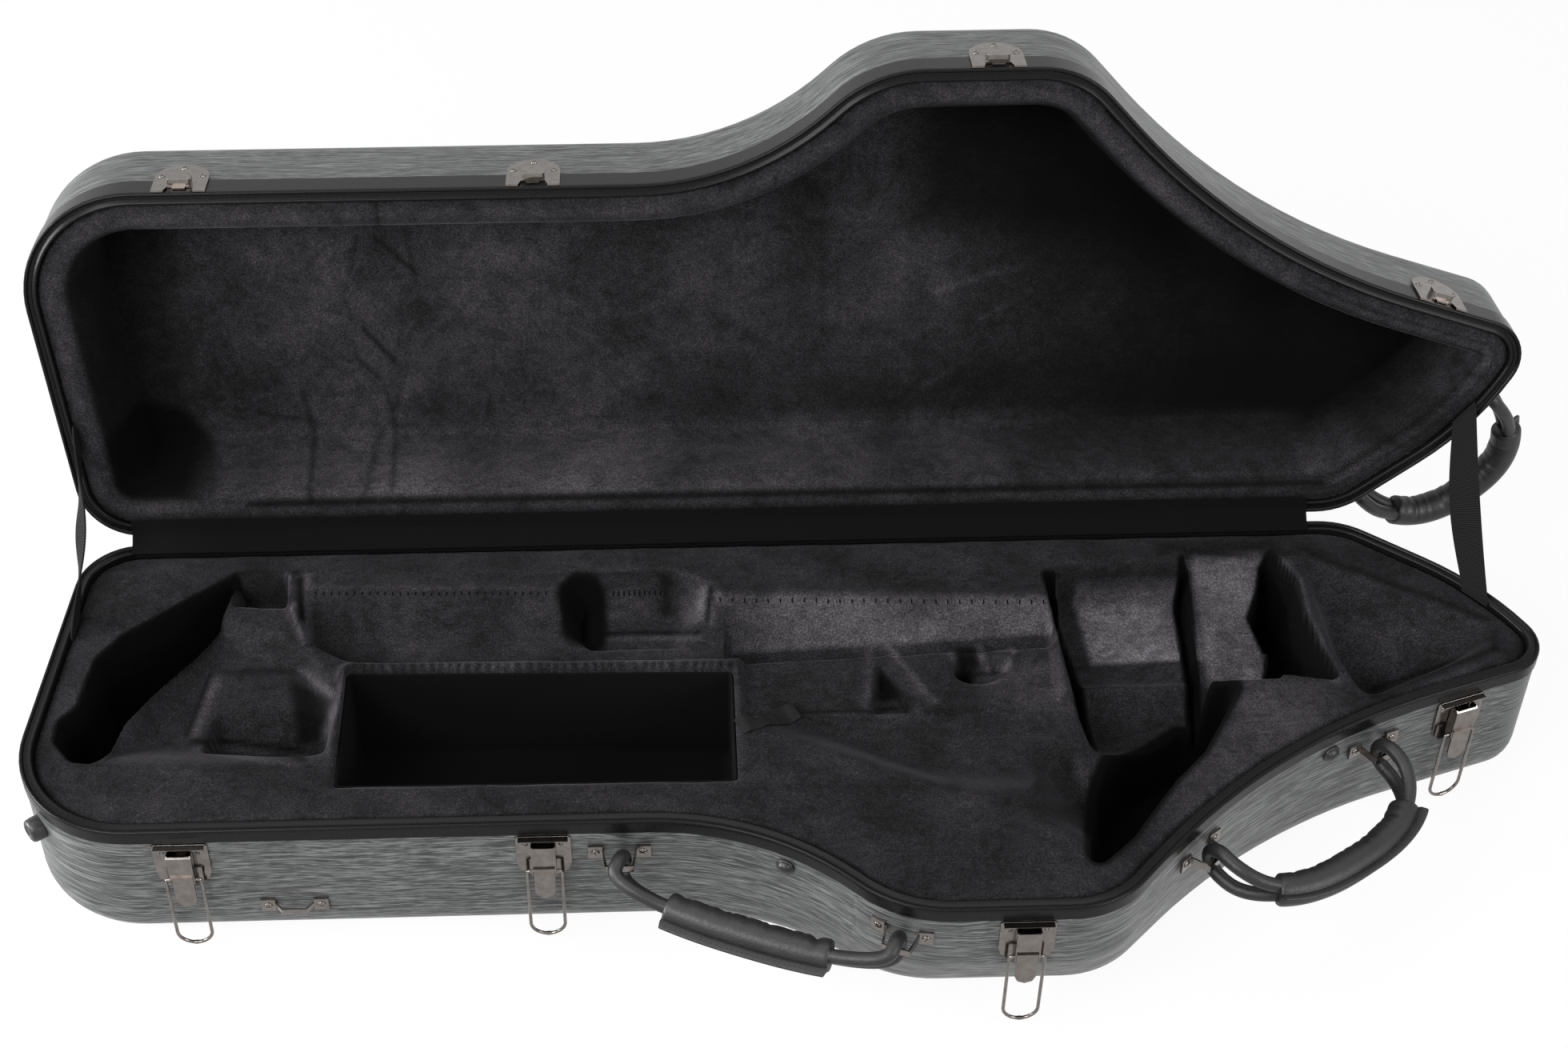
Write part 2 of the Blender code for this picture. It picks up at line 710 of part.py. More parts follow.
def hinge_flap():
    """The plush strip over the hinge, bent between the base rim and the open lid's rim."""
    lift = FLAP_THICKNESS / 2
    open_angle = math.radians(LID_OPEN_DEGREES)
    up_lid = Vector((-math.cos(open_angle), math.sin(open_angle)))
    off_lid = Vector((-math.sin(open_angle), -math.cos(open_angle)))
    fold = (Vector((-1, 0)) + up_lid).normalized() * FLAP_FOLD
    points = (
        (-FLAP_BASE_REACH, lift),
        (-FLAP_FOLD_REACH, lift),
        fold,
        up_lid * FLAP_FOLD_REACH + off_lid * lift,
        up_lid * FLAP_LID_REACH + off_lid * lift,
    )
    return prism("hinge_flap", band(points, FLAP_THICKNESS), -HINGE_LEFT, HINGE_RIGHT, "X")


def plate_top():
    return -(BASE_RIM_HEIGHT + PLATE_BELOW_RIM)


def lever_pivot():
    """The latch lever's pivot in the latch's own frame."""
    return Vector((0, -(GAP + PLATE_THICKNESS + LEVER_PIVOT_OUT), plate_top() - LEVER_PIVOT_DROP))


def latch_plate():
    half = PLATE_WIDTH / 2
    top = plate_top()
    bottom = top - PLATE_HEIGHT
    face = -(GAP + PLATE_THICKNESS)
    shape = rounded(
        ((-half, bottom), (half, bottom), (half, top), (-half, top)),
        (PLATE_CORNER, PLATE_CORNER, PLATE_TOP_CORNER, PLATE_TOP_CORNER),
    )
    solids = [prism("latch_plate", shape, face, -GAP, "Y")]
    lip = half - PLATE_TOP_CORNER
    solids.append(box("lip", (-lip, face - PLATE_LIP, top - PLATE_THICKNESS), (lip, -GAP - GAP, top - GAP)))
    for side in (-1, 1):
        spot = (side * (half - RIVET_INSET), top - PLATE_THICKNESS - RIVET_INSET)
        solids.append(button("rivet", spot, RIVET_RADIUS, face + GAP, RIVET_HEIGHT, RIVET_SIDES))
    pivot = lever_pivot()
    lug = LUG_WIDTH / 2
    solids.append(box(
        "lug",
        (-lug, pivot.y - LUG_HALF_HEIGHT, pivot.z - LUG_HALF_HEIGHT),
        (lug, face + GAP, pivot.z + LUG_HALF_HEIGHT),
    ))
    reach = Vector((LEVER_WIDTH / 2 + LEVER_PIN_HEAD, 0, 0))
    solids.append(rod("pin", pivot - reach, pivot + reach, LEVER_PIN_RADIUS, RIVET_SIDES))
    return join(solids)


def latch_lever():
    """A channel that turns on the plate's pin, ridged, with a thumb tab below; its origin is the pivot."""
    half = LEVER_WIDTH / 2
    side = (
        (LEVER_BACK, -LEVER_CHEEK + LEVER_BEVEL),
        (LEVER_BACK, -LEVER_BEVEL),
        (LEVER_BACK - LEVER_BEVEL, LEVER_TOP - LEVER_BEVEL / 2),
        (LEVER_BEVEL - LEVER_FRONT, LEVER_TOP),
        (-LEVER_FRONT, LEVER_TOP - LEVER_BEVEL),
        (-LEVER_FRONT, -LEVER_BOX),
        (-LEVER_CHEEK_FRONT, -LEVER_BOX - LEVER_BEVEL),
        (-LEVER_CHEEK_FRONT, -LEVER_CHEEK),
        (LEVER_BACK - LEVER_BEVEL, -LEVER_CHEEK),
    )
    channel = prism("latch_lever", side, -half, half, "X")
    inside = half - LEVER_WALL
    hollow = box(
        "hollow",
        (-inside, LEVER_WALL - LEVER_FRONT, LEVER_WALL - LEVER_BOX),
        (inside, LEVER_BACK + CUT_OVERRUN, LEVER_TOP + CUT_OVERRUN),
    )
    below = box(
        "below",
        (-inside, -LEVER_FRONT - CUT_OVERRUN, -LEVER_CHEEK - CUT_OVERRUN),
        (inside, LEVER_BACK + CUT_OVERRUN, -LEVER_BOX),
    )
    reach = half + CUT_OVERRUN
    holes = [
        rod("pin_hole", (-reach, 0, 0), (reach, 0, 0), LEVER_PIN_RADIUS + GAP, RIVET_SIDES),
        rod(
            "bail_hole",
            (-reach, -BAIL_PIVOT_OUT, -BAIL_PIVOT_DROP),
            (reach, -BAIL_PIVOT_OUT, -BAIL_PIVOT_DROP),
            BAIL_RADIUS + GAP,
            RIVET_SIDES,
        ),
    ]
    cut(channel, [hollow, below] + holes)
    tab_half = LEVER_TAB_WIDTH / 2
    end = -LEVER_BOX - LEVER_TAB
    ridge_top = LEVER_WALL / 2 - LEVER_BOX
    tab = rounded(
        ((-tab_half, end), (tab_half, end), (tab_half, ridge_top), (-tab_half, ridge_top)),
        (tab_half, tab_half, LEAST_FILLET, LEAST_FILLET),
    )
    front = -LEVER_FRONT
    solids = [channel, prism("tab", tab, front + GAP, front + GAP + LEVER_TAB_THICKNESS, "Y")]
    solids.append(box(
        "ridge",
        (-half + LEVER_WALL, front - LEVER_RIDGE, ridge_top - LEVER_RIDGE_HEIGHT),
        (half - LEVER_WALL, front + LEVER_WALL / 2, ridge_top),
    ))
    return join(solids)


def bail_length():
    """From the bail's pivot to the wire at its round end, which seats on the catch's boss when it is up."""
    pivot_drop = -lever_pivot().z + BAIL_PIVOT_DROP
    return pivot_drop + BOSS_TOP + BAIL_RADIUS + BAIL_SLACK


def latch_bail():
    """A wire loop whose ends turn in through the lever's sides. Its origin is the pivot."""
    half = BAIL_WIDTH / 2 - BAIL_RADIUS
    inner = LEVER_WIDTH / 2 - 2 * LEVER_WALL
    end = half - bail_length()
    side = [Vector((inner, 0, 0))]
    for step in range(BAIL_BEND_STEPS + 1):
        angle = math.pi / 2 * step / BAIL_BEND_STEPS
        side.append(Vector((
            half - BAIL_BEND * (1 - math.sin(angle)),
            0,
            -BAIL_BEND * (1 - math.cos(angle)),
        )))
    turn = []
    for step in range(BAIL_TURN_STEPS + 1):
        angle = math.pi * step / BAIL_TURN_STEPS
        turn.append(Vector((half * math.cos(angle), 0, end - half * math.sin(angle))))
    mirrored = [Vector((-point.x, 0, point.z)) for point in reversed(side)]
    return tube("latch_bail", side + turn + mirrored, BAIL_RADIUS, BAIL_SIDES)


def latch_catch():
    """A domed plate on the lid's rim, notched below, with a round-topped boss that the bail hooks over."""
    half = PLATE_WIDTH / 2
    straight = CATCH_ABOVE_SEAM + CATCH_HEIGHT * CATCH_RISE_SHARE
    rise = CATCH_ABOVE_SEAM + CATCH_HEIGHT - straight
    low = CATCH_ABOVE_SEAM
    notch = low + NOTCH_HEIGHT
    shape = [
        (-half, low),
        (-NOTCH_WIDTH / 2, low),
        (-NOTCH_TOP_WIDTH / 2, notch),
        (NOTCH_TOP_WIDTH / 2, notch),
        (NOTCH_WIDTH / 2, low),
        (half, low),
    ]
    dome = []
    for step in range(DOME_STEPS + 1):
        angle = math.pi * step / DOME_STEPS
        dome.append((half * math.cos(angle), straight + rise * math.sin(angle)))
    back = -(RIM_PROUD + GAP)
    face = back - PLATE_THICKNESS
    solids = [prism("latch_catch", shape + dome, face, back, "Y")]
    pad_half = half * PAD_SHARE
    pad = [(x * PAD_SHARE, straight + (z - straight) * PAD_SHARE) for x, z in dome]
    pad += [(-pad_half, LID_RIM_HEIGHT + 2 * GAP), (pad_half, LID_RIM_HEIGHT + 2 * GAP)]
    solids.append(prism("pad", pad, back - GAP, -GAP, "Y"))
    boss_half = BOSS_WIDTH / 2
    boss = rounded(
        ((-boss_half, BOSS_BOTTOM), (boss_half, BOSS_BOTTOM), (boss_half, BOSS_TOP), (-boss_half, BOSS_TOP)),
        (LEAST_FILLET, LEAST_FILLET, BOSS_TOP_CORNER, BOSS_TOP_CORNER),
    )
    solids.append(prism("boss", boss, face - BOSS_HEIGHT, face + GAP, "Y"))
    tongue = TONGUE_WIDTH / 2
    solids.append(box("tongue", (-tongue, face, notch - TONGUE_HEIGHT), (tongue, back - GAP, notch + GAP)))
    for x, z in ((-1, 0), (1, 0), (0, 1)):
        spot = (x * (half - SCREW_INSET), straight + z * (rise - RIVET_INSET))
        solids.append(button("screw", spot, SCREW_RADIUS, face + GAP, RIVET_HEIGHT, RIVET_SIDES))
    return join(solids)


def pivot_empty(name, parent, frame, spot):
    """An empty on a joint's axis, in the frame of the piece that carries it."""
    made = bpy.data.objects.new(name, None)
    bpy.context.scene.collection.objects.link(made)
    made.empty_display_size = RIVET_RADIUS
    made.parent = parent
    made.matrix_local = frame @ Matrix.Translation(spot)
    return made


def latches(base, lid):
    for index, share in enumerate(LATCH_SHARES, start=1):
        frame = wall_frame(share * LENGTH, 0.0)
        place(latch_plate(), f"latch_plate_{index}", "smoked_nickel", base, frame)
        lever_frame = frame @ Matrix.Translation(lever_pivot())
        place(latch_lever(), f"latch_lever_{index}", "smoked_nickel", base, lever_frame)
        bail_frame = lever_frame @ Matrix.Translation((0, -BAIL_PIVOT_OUT, -BAIL_PIVOT_DROP))
        place(latch_bail(), f"latch_bail_{index}", "smoked_nickel", base, bail_frame)
        place(latch_catch(), f"latch_catch_{index}", "smoked_nickel", lid, frame)


def arch_bracket(x, z, back, out, half_span, height, ear_offset, rope=False):
    """A strip riveted to the wall by two ears, arched between them. Its origin is the arch's middle."""
    frame = wall_frame(x, z, back)
    along = frame.col[0].xyz
    middle = wall_frame(x, z, back, out).translation
    seat = CURVED_GAP + EAR_THICKNESS / 2
    solids = []
    path = []
    for side in (-1, 1):
        ear = wall_frame(x + side * along.x * ear_offset, z, back, seat)
        foot = wall_frame(x + side * along.x * (ear_offset - EAR_LENGTH / 2), z, back, seat).translation
        shoulder = middle + along * side * half_span
        path += [ear.translation, foot, shoulder][::-side]
        solids.append(ear_plate(ear, middle, height))
    corners = [(point.x - middle.x, point.y - middle.y) for point in path]
    strip = prism("arch_bracket", band(corners, ARCH_BAR), -height / 2, height / 2, "Z")
    if rope:
        saddle = rope_boss()
        saddle.data.transform(wall_frame(x, z, back).to_3x3().to_4x4())
        solids.append(saddle)
    return join([strip] + solids), Matrix.Translation(middle)


def boss_reach():
    return math.hypot(ARCH_BAR, ARCH_HEIGHT) / 2


def rope_boss():
    """A dome behind the middle of an arch's bar, centred on the bar, with +Y toward the wall."""
    rings = []
    for step in range(BOSS_RINGS):
        angle = math.pi / 2 * step / BOSS_RINGS
        radius = boss_reach() * math.cos(angle)
        rings.append([
            (
                radius * math.cos(math.tau * side / RIVET_SIDES),
                boss_reach() * math.sin(angle),
                radius * math.sin(math.tau * side / RIVET_SIDES),
            )
            for side in range(RIVET_SIDES)
        ])
    return loft("rope_boss", rings)


def ear_plate(ear, middle, height):
    tall = max(EAR_HEIGHT, height + 2 * GAP) / 2
    half = EAR_LENGTH / 2
    plate = box("ear", (-half, -EAR_THICKNESS / 2, -tall), (half, EAR_THICKNESS / 2, tall))
    head = button("rivet", (0, 0), RIVET_RADIUS, -EAR_THICKNESS / 2 + GAP, RIVET_HEIGHT, RIVET_SIDES)
    made = join([plate, head])
    made.data.transform(Matrix.Translation(-middle) @ ear)
    return made


def handle_path(chord, bow):
    """The handle's middle line from one arch to the other: x along the chord, y outward."""
    points = []
    for step in range(PATH_STEPS + 1):
        angle = math.pi * (1 - step / PATH_STEPS)
        across = math.copysign(abs(math.cos(angle)) ** HANDLE_POWER_SHARE, math.cos(angle))
        points.append(Vector((chord / 2 * (1 + across), bow * abs(math.sin(angle)) ** HANDLE_POWER_SHARE, 0)))
    return points


def at_length(points, length):
    """The point at this length along a path. Before its start it goes straight back toward the wall."""
    if length < 0:
        return points[0] + Vector((0, length, 0))
    for start, end in zip(points, points[1:]):
        step = (end - start).length
        if length <= step:
            return start.lerp(end, length / step)
        length -= step
    return points[-1].copy()


def eye_width(share):
    """Half the gap between the eye's two strands, from its turn at 0 to the grip at 1."""
    if share >= 1:
        return 0.0
    turn = min(share / EYE_TURN_SHARE, 1.0)
    opened = math.sqrt(1 - (1 - turn) ** 2) * EYE_HALF_WIDTH
    narrowed = max(share - EYE_NARROWING_SHARE, 0.0) / (1 - EYE_NARROWING_SHARE)
    return opened + (EYE_NECK - EYE_HALF_WIDTH) * narrowed ** 2 * (3 - 2 * narrowed)


def crowded(share):
    """A share from 0 to 1 that moves slowly at first, so that the eye's turn gets most of its points."""
    turn = math.pi * EYE_CROWDING_SHARE
    return (1 - math.cos(turn * share)) / (1 - math.cos(turn))


def eye(path):
    """The rope loop at the start of a path: round behind the arch's boss and on into the grip."""
    turn = boss_reach() + CURVED_GAP + ROPE_RADIUS * math.cos(math.pi / ROPE_SIDES)
    upper = []
    for step in range(EYE_STEPS + 1):
        share = crowded(step / EYE_STEPS)
        middle = at_length(path, share * (EYE_LENGTH + turn) - turn)
        upper.append(middle + Vector((0, 0, eye_width(share))))
    lower = [Vector((point.x, point.y, -point.z)) for point in upper[-2:0:-1]]
    return tube("eye", upper + lower, ROPE_RADIUS, ROPE_SIDES, closed=True)


def grip(path, total):
    """The padded sleeve, with the fin along its outer side where its cover is sewn."""
    start = EYE_LENGTH - ROPE_RADIUS
    rings = []
    for step in range(GRIP_STEPS + 1):
        length = start + (total - 2 * start) * step / GRIP_STEPS
        centre = at_length(path, length)
        along = (at_length(path, length + ROPE_RADIUS) - at_length(path, length - ROPE_RADIUS)).normalized()
        outward = Vector((-along.y, along.x, 0))
        turn = Matrix.Rotation(math.radians(FIN_TURN_DEGREES), 3, along)
        rings.append([centre + turn @ (outward * out + Vector((0, 0, up))) for out, up in grip_section()])
    return loft("grip", rings)


def grip_section():
    """Points of the grip's section, as a distance outward and one upward."""
    fin = FIN_THICKNESS / 2
    tip = GRIP_RADIUS + FIN_REACH
    points = [(tip, -fin), (tip, fin)]
    for step in range(GRIP_SIDES):
        angle = math.tau * (step + 0.5) / GRIP_SIDES
        points.append((GRIP_RADIUS * math.cos(angle), GRIP_RADIUS * math.sin(angle)))
    root = math.sqrt(GRIP_RADIUS ** 2 - fin ** 2) * FIN_ROOT_SHARE
    return points[:2] + [(root, fin)] + points[2:] + [(root, -fin)]


def handle(parent, name, shares, z, back, bow, droop):
    """A handle and its two arches. The handle's origin is the first arch's bar, with X along the chord."""
    middles = []
    for index, share in enumerate(shares, start=1):
        bracket, matrix = arch_bracket(
            share * LENGTH, z, back, ARCH_OUT, ARCH_HALF_SPAN, ARCH_HEIGHT, EAR_OFFSET, rope=True
        )
        place(bracket, f"{name}_bracket_{index}", "smoked_nickel", parent, matrix)
        middles.append(matrix.translation)
    if back:
        middles.reverse()
    chord = middles[1] - middles[0]
    path = handle_path(chord.length, bow)
    total = sum((end - start).length for start, end in zip(path, path[1:]))
    solid = join([grip(path, total), eye(path), eye(path[::-1])])
    solid.data.transform(Matrix.Scale(-1, 4, (0, 1, 0)))
    solid.data.flip_normals()
    along = chord.normalized()
    inward = Vector((0, 0, 1)).cross(along)
    frame = Matrix.Identity(4)
    frame.col[0][:3] = along
    frame.col[1][:3] = inward
    frame.translation = middles[0]
    frame = frame @ Matrix.Rotation(math.radians(droop), 4, "X")
    place(solid, f"{name}_handle", "leather", parent, frame)


def handles(base, lid):
    handle(base, "front", FRONT_ARCH_SHARES, -ARCH_DROP, False, FRONT_BOW, FRONT_DROOP_DEGREES)
    handle(base, "side", SIDE_ARCH_SHARES, -ARCH_DROP, False, SIDE_BOW, SIDE_DROOP_DEGREES)
    handle(lid, "rear", REAR_ARCH_SHARES, REAR_ARCH_RISE, True, REAR_BOW, REAR_DROOP_DEGREES)


def studs_and_foot(base):
    for index, share in enumerate(STUD_SHARES, start=1):
        stud = button("stud", (0, 0), STUD_RADIUS, -CURVED_GAP, STUD_HEIGHT, STUD_SIDES, STUD_TOP_SHARE)
        frame = wall_frame(share * LENGTH, -STUD_DROP)
        place(stud, f"bumper_stud_{index}", "rubber", base, frame)
    foot = button("foot", (0, 0), FOOT_RADIUS, -CURVED_GAP, FOOT_HEIGHT, STUD_SIDES)
    place(foot, "end_foot", "rubber", base, end_frame(FOOT_FORWARD_SHARE * WIDTH, -FOOT_DROP))


def end_frame(forward, z):
    """Where a piece seats on the left end's wall, this far forward of the hinge; -Y points out."""
    points = outline()
    for start, end in zip(points, points[1:]):
        if start.x < 0 and start.y >= -forward > end.y:
            spot = start.lerp(end, (start.y + forward) / (start.y - end.y))
            along = (end - start).normalized()
            break
    frame = Matrix.Identity(4)
    frame.col[0][:3] = (along.x, along.y, 0)
    frame.col[1][:3] = (-along.y, along.x, 0)
    frame.translation = (spot.x, spot.y, z)
    return frame


def strap_loop(base):
    """A riveted strip low on the front wall, arched so that a shoulder strap can pass behind it."""
    plate, matrix = arch_bracket(
        STRAP_PLATE_SHARE * LENGTH,
        -STRAP_PLATE_DROP,
        False,
        STRAP_ARCH_OUT,
        STRAP_ARCH_HALF_SPAN,
        STRAP_ARCH_HEIGHT / 2,
        STRAP_EAR_OFFSET,
    )
    place(plate, "strap_plate", "smoked_nickel", base, matrix)


def stay_edge(side):
    """A stay strap's width just inside the rim: its middle and the vector from it to either edge."""
    forward = STAY_FORWARD_SHARE * WIDTH
    points = outline(RIM_WIDTH + CURVED_GAP + GAP + STAY_THICKNESS / 2)
    for start, end in zip(points, points[1:] + points[:1]):
        on_side = start.x * side > 0
        if on_side and min(start.y, end.y) <= -forward < max(start.y, end.y):
            spot = start.lerp(end, (start.y + forward) / (start.y - end.y))
            along = (end - start).normalized() * STAY_WIDTH / 2
            along = along if along.y < 0 else -along
            return spot.to_3d(), along.to_3d()
    return None


def stay_strap(name, side):
    """A strip tucked inside both rims. It stands up past each rim, then crosses with a slight bow."""
    middle, along = stay_edge(side)
    lid_turn = Matrix.Rotation(-math.radians(LID_OPEN_DEGREES), 3, "X")
    up = Vector((0, 0, 1))
    low = [middle + up * z for z in (GAP - INSERT_DROP, CURVED_GAP)]
    high = [lid_turn @ (middle + up * z) for z in (-CURVED_GAP, LIP_DROP - GAP)]
    rise = (high[0] - low[1]).normalized()
    sections = [(low[0], along, up)]
    for step in range(STAY_STEPS + 1):
        share = step / STAY_STEPS
        bow = Vector((side, 0, 0)) * STAY_BOW * math.sin(math.pi * share)
        sections.append((low[1].lerp(high[0], share) - bow, along.lerp(lid_turn @ along, share), rise))
    sections.append((high[1], lid_turn @ along, -(lid_turn @ up)))
    rings = []
    for centre, half, direction in sections:
        thick = direction.cross(half).normalized() * STAY_THICKNESS / 2
        rings.append([
            centre - half - thick,
            centre + half - thick,
            centre + half + thick,
            centre - half + thick,
        ])
    return loft(name, rings)


def ribbon_pull():
    """The flat ribbon that lies on the plateau beside the compartment."""
    left = COMPARTMENT_SHARES[3][0] * LENGTH + PULL_INSET
    plateau = POCKET_SHARES["key_plateau"][0]
    room = BASE_HEIGHT - SHELL_WALL - LINING_GAP - INSERT_DROP - POCKET_FLOOR
    z = GAP - INSERT_DROP - plateau * room
    middle = -PULL_FORWARD_SHARE * WIDTH
    half = PULL_WIDTH / 2
    return box(
        "ribbon_pull",
        (left, middle - half, z),
        (left + PULL_LENGTH, middle + half, z + PULL_THICKNESS),
    )


def base_half(seam):
    shell_solid = shell("base_shell", BASE_HEIGHT, BASE_STRAIGHT, BASE_RIM_HEIGHT, BELL_SINK, -1)
    place(shell_solid, "base_shell", "shell", seam)
    place(rim("base_rim", BASE_RIM_HEIGHT, -1), "base_rim", "rim", seam)
    place(base_insert(), "base_insert", "plush", seam)
    place(compartment_liner(), "compartment_liner", "black_cloth", seam)
    place(ribbon_pull(), "ribbon_pull", "webbing", seam)
    place(hinge_leaf("hinge_leaf_base", 0, -1), "hinge_leaf_base", "smoked_nickel", seam)
    place(hinge_pin(), "hinge_pin", "smoked_nickel", seam)
    place(hinge_flap(), "hinge_flap", "plush", seam)


def lid_half(axis):
    shell_solid = shell("lid_shell", LID_HEIGHT, LID_STRAIGHT, LID_RIM_HEIGHT, 0.0, 1)
    place(shell_solid, "lid_shell", "shell", axis)
    place(rim("lid_rim", LID_RIM_HEIGHT, 1), "lid_rim", "rim", axis)
    place(lid_lining(), "lid_lining", "plush", axis)
    place(hinge_leaf("hinge_leaf_lid", 1, 1), "hinge_leaf_lid", "smoked_nickel", axis)


def main():
    clear_scene()
    seam = pivot_empty("base_seam", None, Matrix.Identity(4), (0, HINGE_Y, BASE_HEIGHT))
    open_turn = Matrix.Rotation(-math.radians(LID_OPEN_DEGREES), 4, "X")
    axis = pivot_empty("lid_axis", None, Matrix.Translation((0, HINGE_Y, BASE_HEIGHT)) @ open_turn, (0, 0, 0))
    base_half(seam)
    lid_half(axis)
    latches(seam, axis)
    handles(seam, axis)
    studs_and_foot(seam)
    strap_loop(seam)
    place(stay_strap("left_stay_strap", -1), "left_stay_strap", "webbing", seam)
    place(stay_strap("right_stay_strap", 1), "right_stay_strap", "webbing", seam)


main()
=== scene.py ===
"""Looks for the open baritone saxophone case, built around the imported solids.

Metres, +Z up. Both halves are drawn in the seam frame, as the solids are: x runs along the case, y is minus
the distance forward of the hinge, the base lies below z = 0 and the closed lid above it. A matrix then puts
each half in its place, with the lid turned open about the hinge axis.
"""

import math
import random

import bmesh
import bpy
import numpy as np
from mathutils import Matrix, Vector


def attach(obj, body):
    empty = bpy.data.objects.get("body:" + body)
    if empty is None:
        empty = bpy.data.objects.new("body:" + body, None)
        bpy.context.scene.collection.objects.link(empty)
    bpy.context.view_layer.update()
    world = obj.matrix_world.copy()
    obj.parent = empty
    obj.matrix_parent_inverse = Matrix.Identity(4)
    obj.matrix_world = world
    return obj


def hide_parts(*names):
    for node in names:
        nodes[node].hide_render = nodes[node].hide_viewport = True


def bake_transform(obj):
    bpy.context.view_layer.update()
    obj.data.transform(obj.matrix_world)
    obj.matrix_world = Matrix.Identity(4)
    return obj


# The case, as its solids have it
LENGTH = 1.180
WIDTH = 0.399
BASE_HEIGHT = 0.130
LID_HEIGHT = 0.108
HINGE_Y = 0.200
LID_OPEN_DEGREES = 102.6
SHELL_WALL = 0.0035
EDGE_INSET = 0.031
BASE_STRAIGHT = 0.098
LID_STRAIGHT = 0.078
BELL_STRAIGHT = 0.064
BELL_SINK = 0.026
RIM_PROUD = 0.0012
RIM_WIDTH = 0.0090
BASE_RIM_HEIGHT = 0.0130
LID_RIM_HEIGHT = 0.0240
GAP = 0.0003
CURVED_GAP = 0.0006
SEAM_GAP = 0.0004
FILLET_SHARE = 0.995
LEAST_FILLET = 0.0015
OUTLINE_SHARES = (
    (-0.4842, 0.0125, 0.120),
    (-0.5108, 0.7677, 0.223),
    (-0.0296, 0.7714, 0.550),
    (0.0515, 0.9970, 0.250),
    (0.1858, 0.9990, 0.185),
    (0.3054, 0.6093, 1.370),
    (0.5111, 0.4115, 0.085),
    (0.4736, 0.2030, 0.580),
    (0.3875, 0.0125, 0.158),
)
BELL_CORNERS = (3, 4)
INSERT_DROP = 0.0040

# How finely the looks are drawn
OUTLINE_CHORD = 0.00012
SEAT_CHORD = 0.0010
EDGE_STEPS = 10
SINK_STEPS = 4
TURNED_SIDES = 28
DOME_STEPS = 6
TIP_RADIUS = 0.00002

# Levels of the plush and the light
PLUSH_LEVEL = 0.060
FLOOR_GLOW = 0.93
WORLD_LIGHT = 0.24

# Camera
CAMERA_PLACE = (-0.10097, -1.38348, 1.66774)
CAMERA_YAW = -3.4572
CAMERA_PITCH = 45.9674
CAMERA_ROLL = 1.2257
CAMERA_LENS = 61.53
SENSOR = 36.0

SEAM = Matrix.Translation((0, HINGE_Y, BASE_HEIGHT))
LID = SEAM @ Matrix.Rotation(-math.radians(LID_OPEN_DEGREES), 4, "X")

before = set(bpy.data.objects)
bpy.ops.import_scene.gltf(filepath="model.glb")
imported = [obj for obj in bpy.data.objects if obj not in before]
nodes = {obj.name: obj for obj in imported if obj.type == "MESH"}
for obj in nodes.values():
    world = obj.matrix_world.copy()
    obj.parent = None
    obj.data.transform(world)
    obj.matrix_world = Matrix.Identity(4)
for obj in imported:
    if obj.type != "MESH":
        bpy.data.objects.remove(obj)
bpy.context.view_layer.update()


# Materials

class Shade:
    """The node tree of a material or a world, with short calls to add nodes and join them."""

    def __init__(self, name, kind="materials"):
        self.owner = getattr(bpy.data, kind).new(name)
        self.owner.use_nodes = True
        self.tree = self.owner.node_tree

    def put(self, socket, value):
        if isinstance(value, bpy.types.NodeSocket):
            self.tree.links.new(value, socket)
        else:
            socket.default_value = value

    def set(self, **values):
        """Fills the main shader's inputs and returns the finished material."""
        for name, value in values.items():
            self.put(self.tree.nodes["Principled BSDF"].inputs[name.replace("_", " ")], value)
        return self.owner

    def node(self, kind, output=0, settings=None, **values):
        """One output of a new node; a value named i0, i1 or i2 goes to the input of that number."""
        made = self.tree.nodes.new("ShaderNode" + kind)
        for name, value in (settings or {}).items():
            setattr(made, name, value)
        for name, value in values.items():
            key = int(name[1:]) if name[0] == "i" and name[1:].isdigit() else name.replace("_", " ")
            self.put(made.inputs[key], value)
        return made.outputs[output]

    def math(self, operation, *values):
        return self.node("Math", settings={"operation": operation},
                         **{f"i{index}": value for index, value in enumerate(values)})

    def times(self, first, second):
        return self.math("MULTIPLY", first, second)

    def weighted(self, first, weight, second):
        """The sum of two values, the second with what the first one's weight leaves of 1."""
        return self.math("ADD", self.times(first, weight), self.times(second, 1 - weight))

    def noise(self, spot, scale, detail, output=0, **values):
        return self.node("TexNoise", output, Vector=spot, Scale=scale, Detail=detail, **values)

    def ramp(self, value, *stops):
        made = self.tree.nodes.new("ShaderNodeValToRGB")
        self.put(made.inputs[0], value)
        while len(made.color_ramp.elements) < len(stops):
            made.color_ramp.elements.new(0.5)
        for element, (place, colour) in zip(made.color_ramp.elements, stops):
            element.position = place
            element.color = colour if isinstance(colour, tuple) else (colour, colour, colour, 1.0)
        return made.outputs[0]

    def place(self, kind="Object", stretch=(1, 1, 1), turn=(0, 0, 0)):
        """Coordinates of one kind, stretched."""
        source = self.tree.nodes.new("ShaderNodeTexCoord").outputs[kind]
        return self.node("Mapping", Vector=source, Scale=stretch, Rotation=turn)

    def bump(self, height, distance, strength):
        return self.node("Bump", Height=height, Distance=distance, Strength=strength)

    def straight_ray(self):
        """1 for a ray from the camera, a mirror or a glass, and 0 for the others."""
        rays = self.tree.nodes.new("ShaderNodeLightPath").outputs
        mirrored = self.math("MAXIMUM", rays["Is Camera Ray"], rays["Is Glossy Ray"])
        return self.math("MAXIMUM", mirrored, rays["Is Transmission Ray"])


def grey(value):
    return (value, value, value, 1.0)


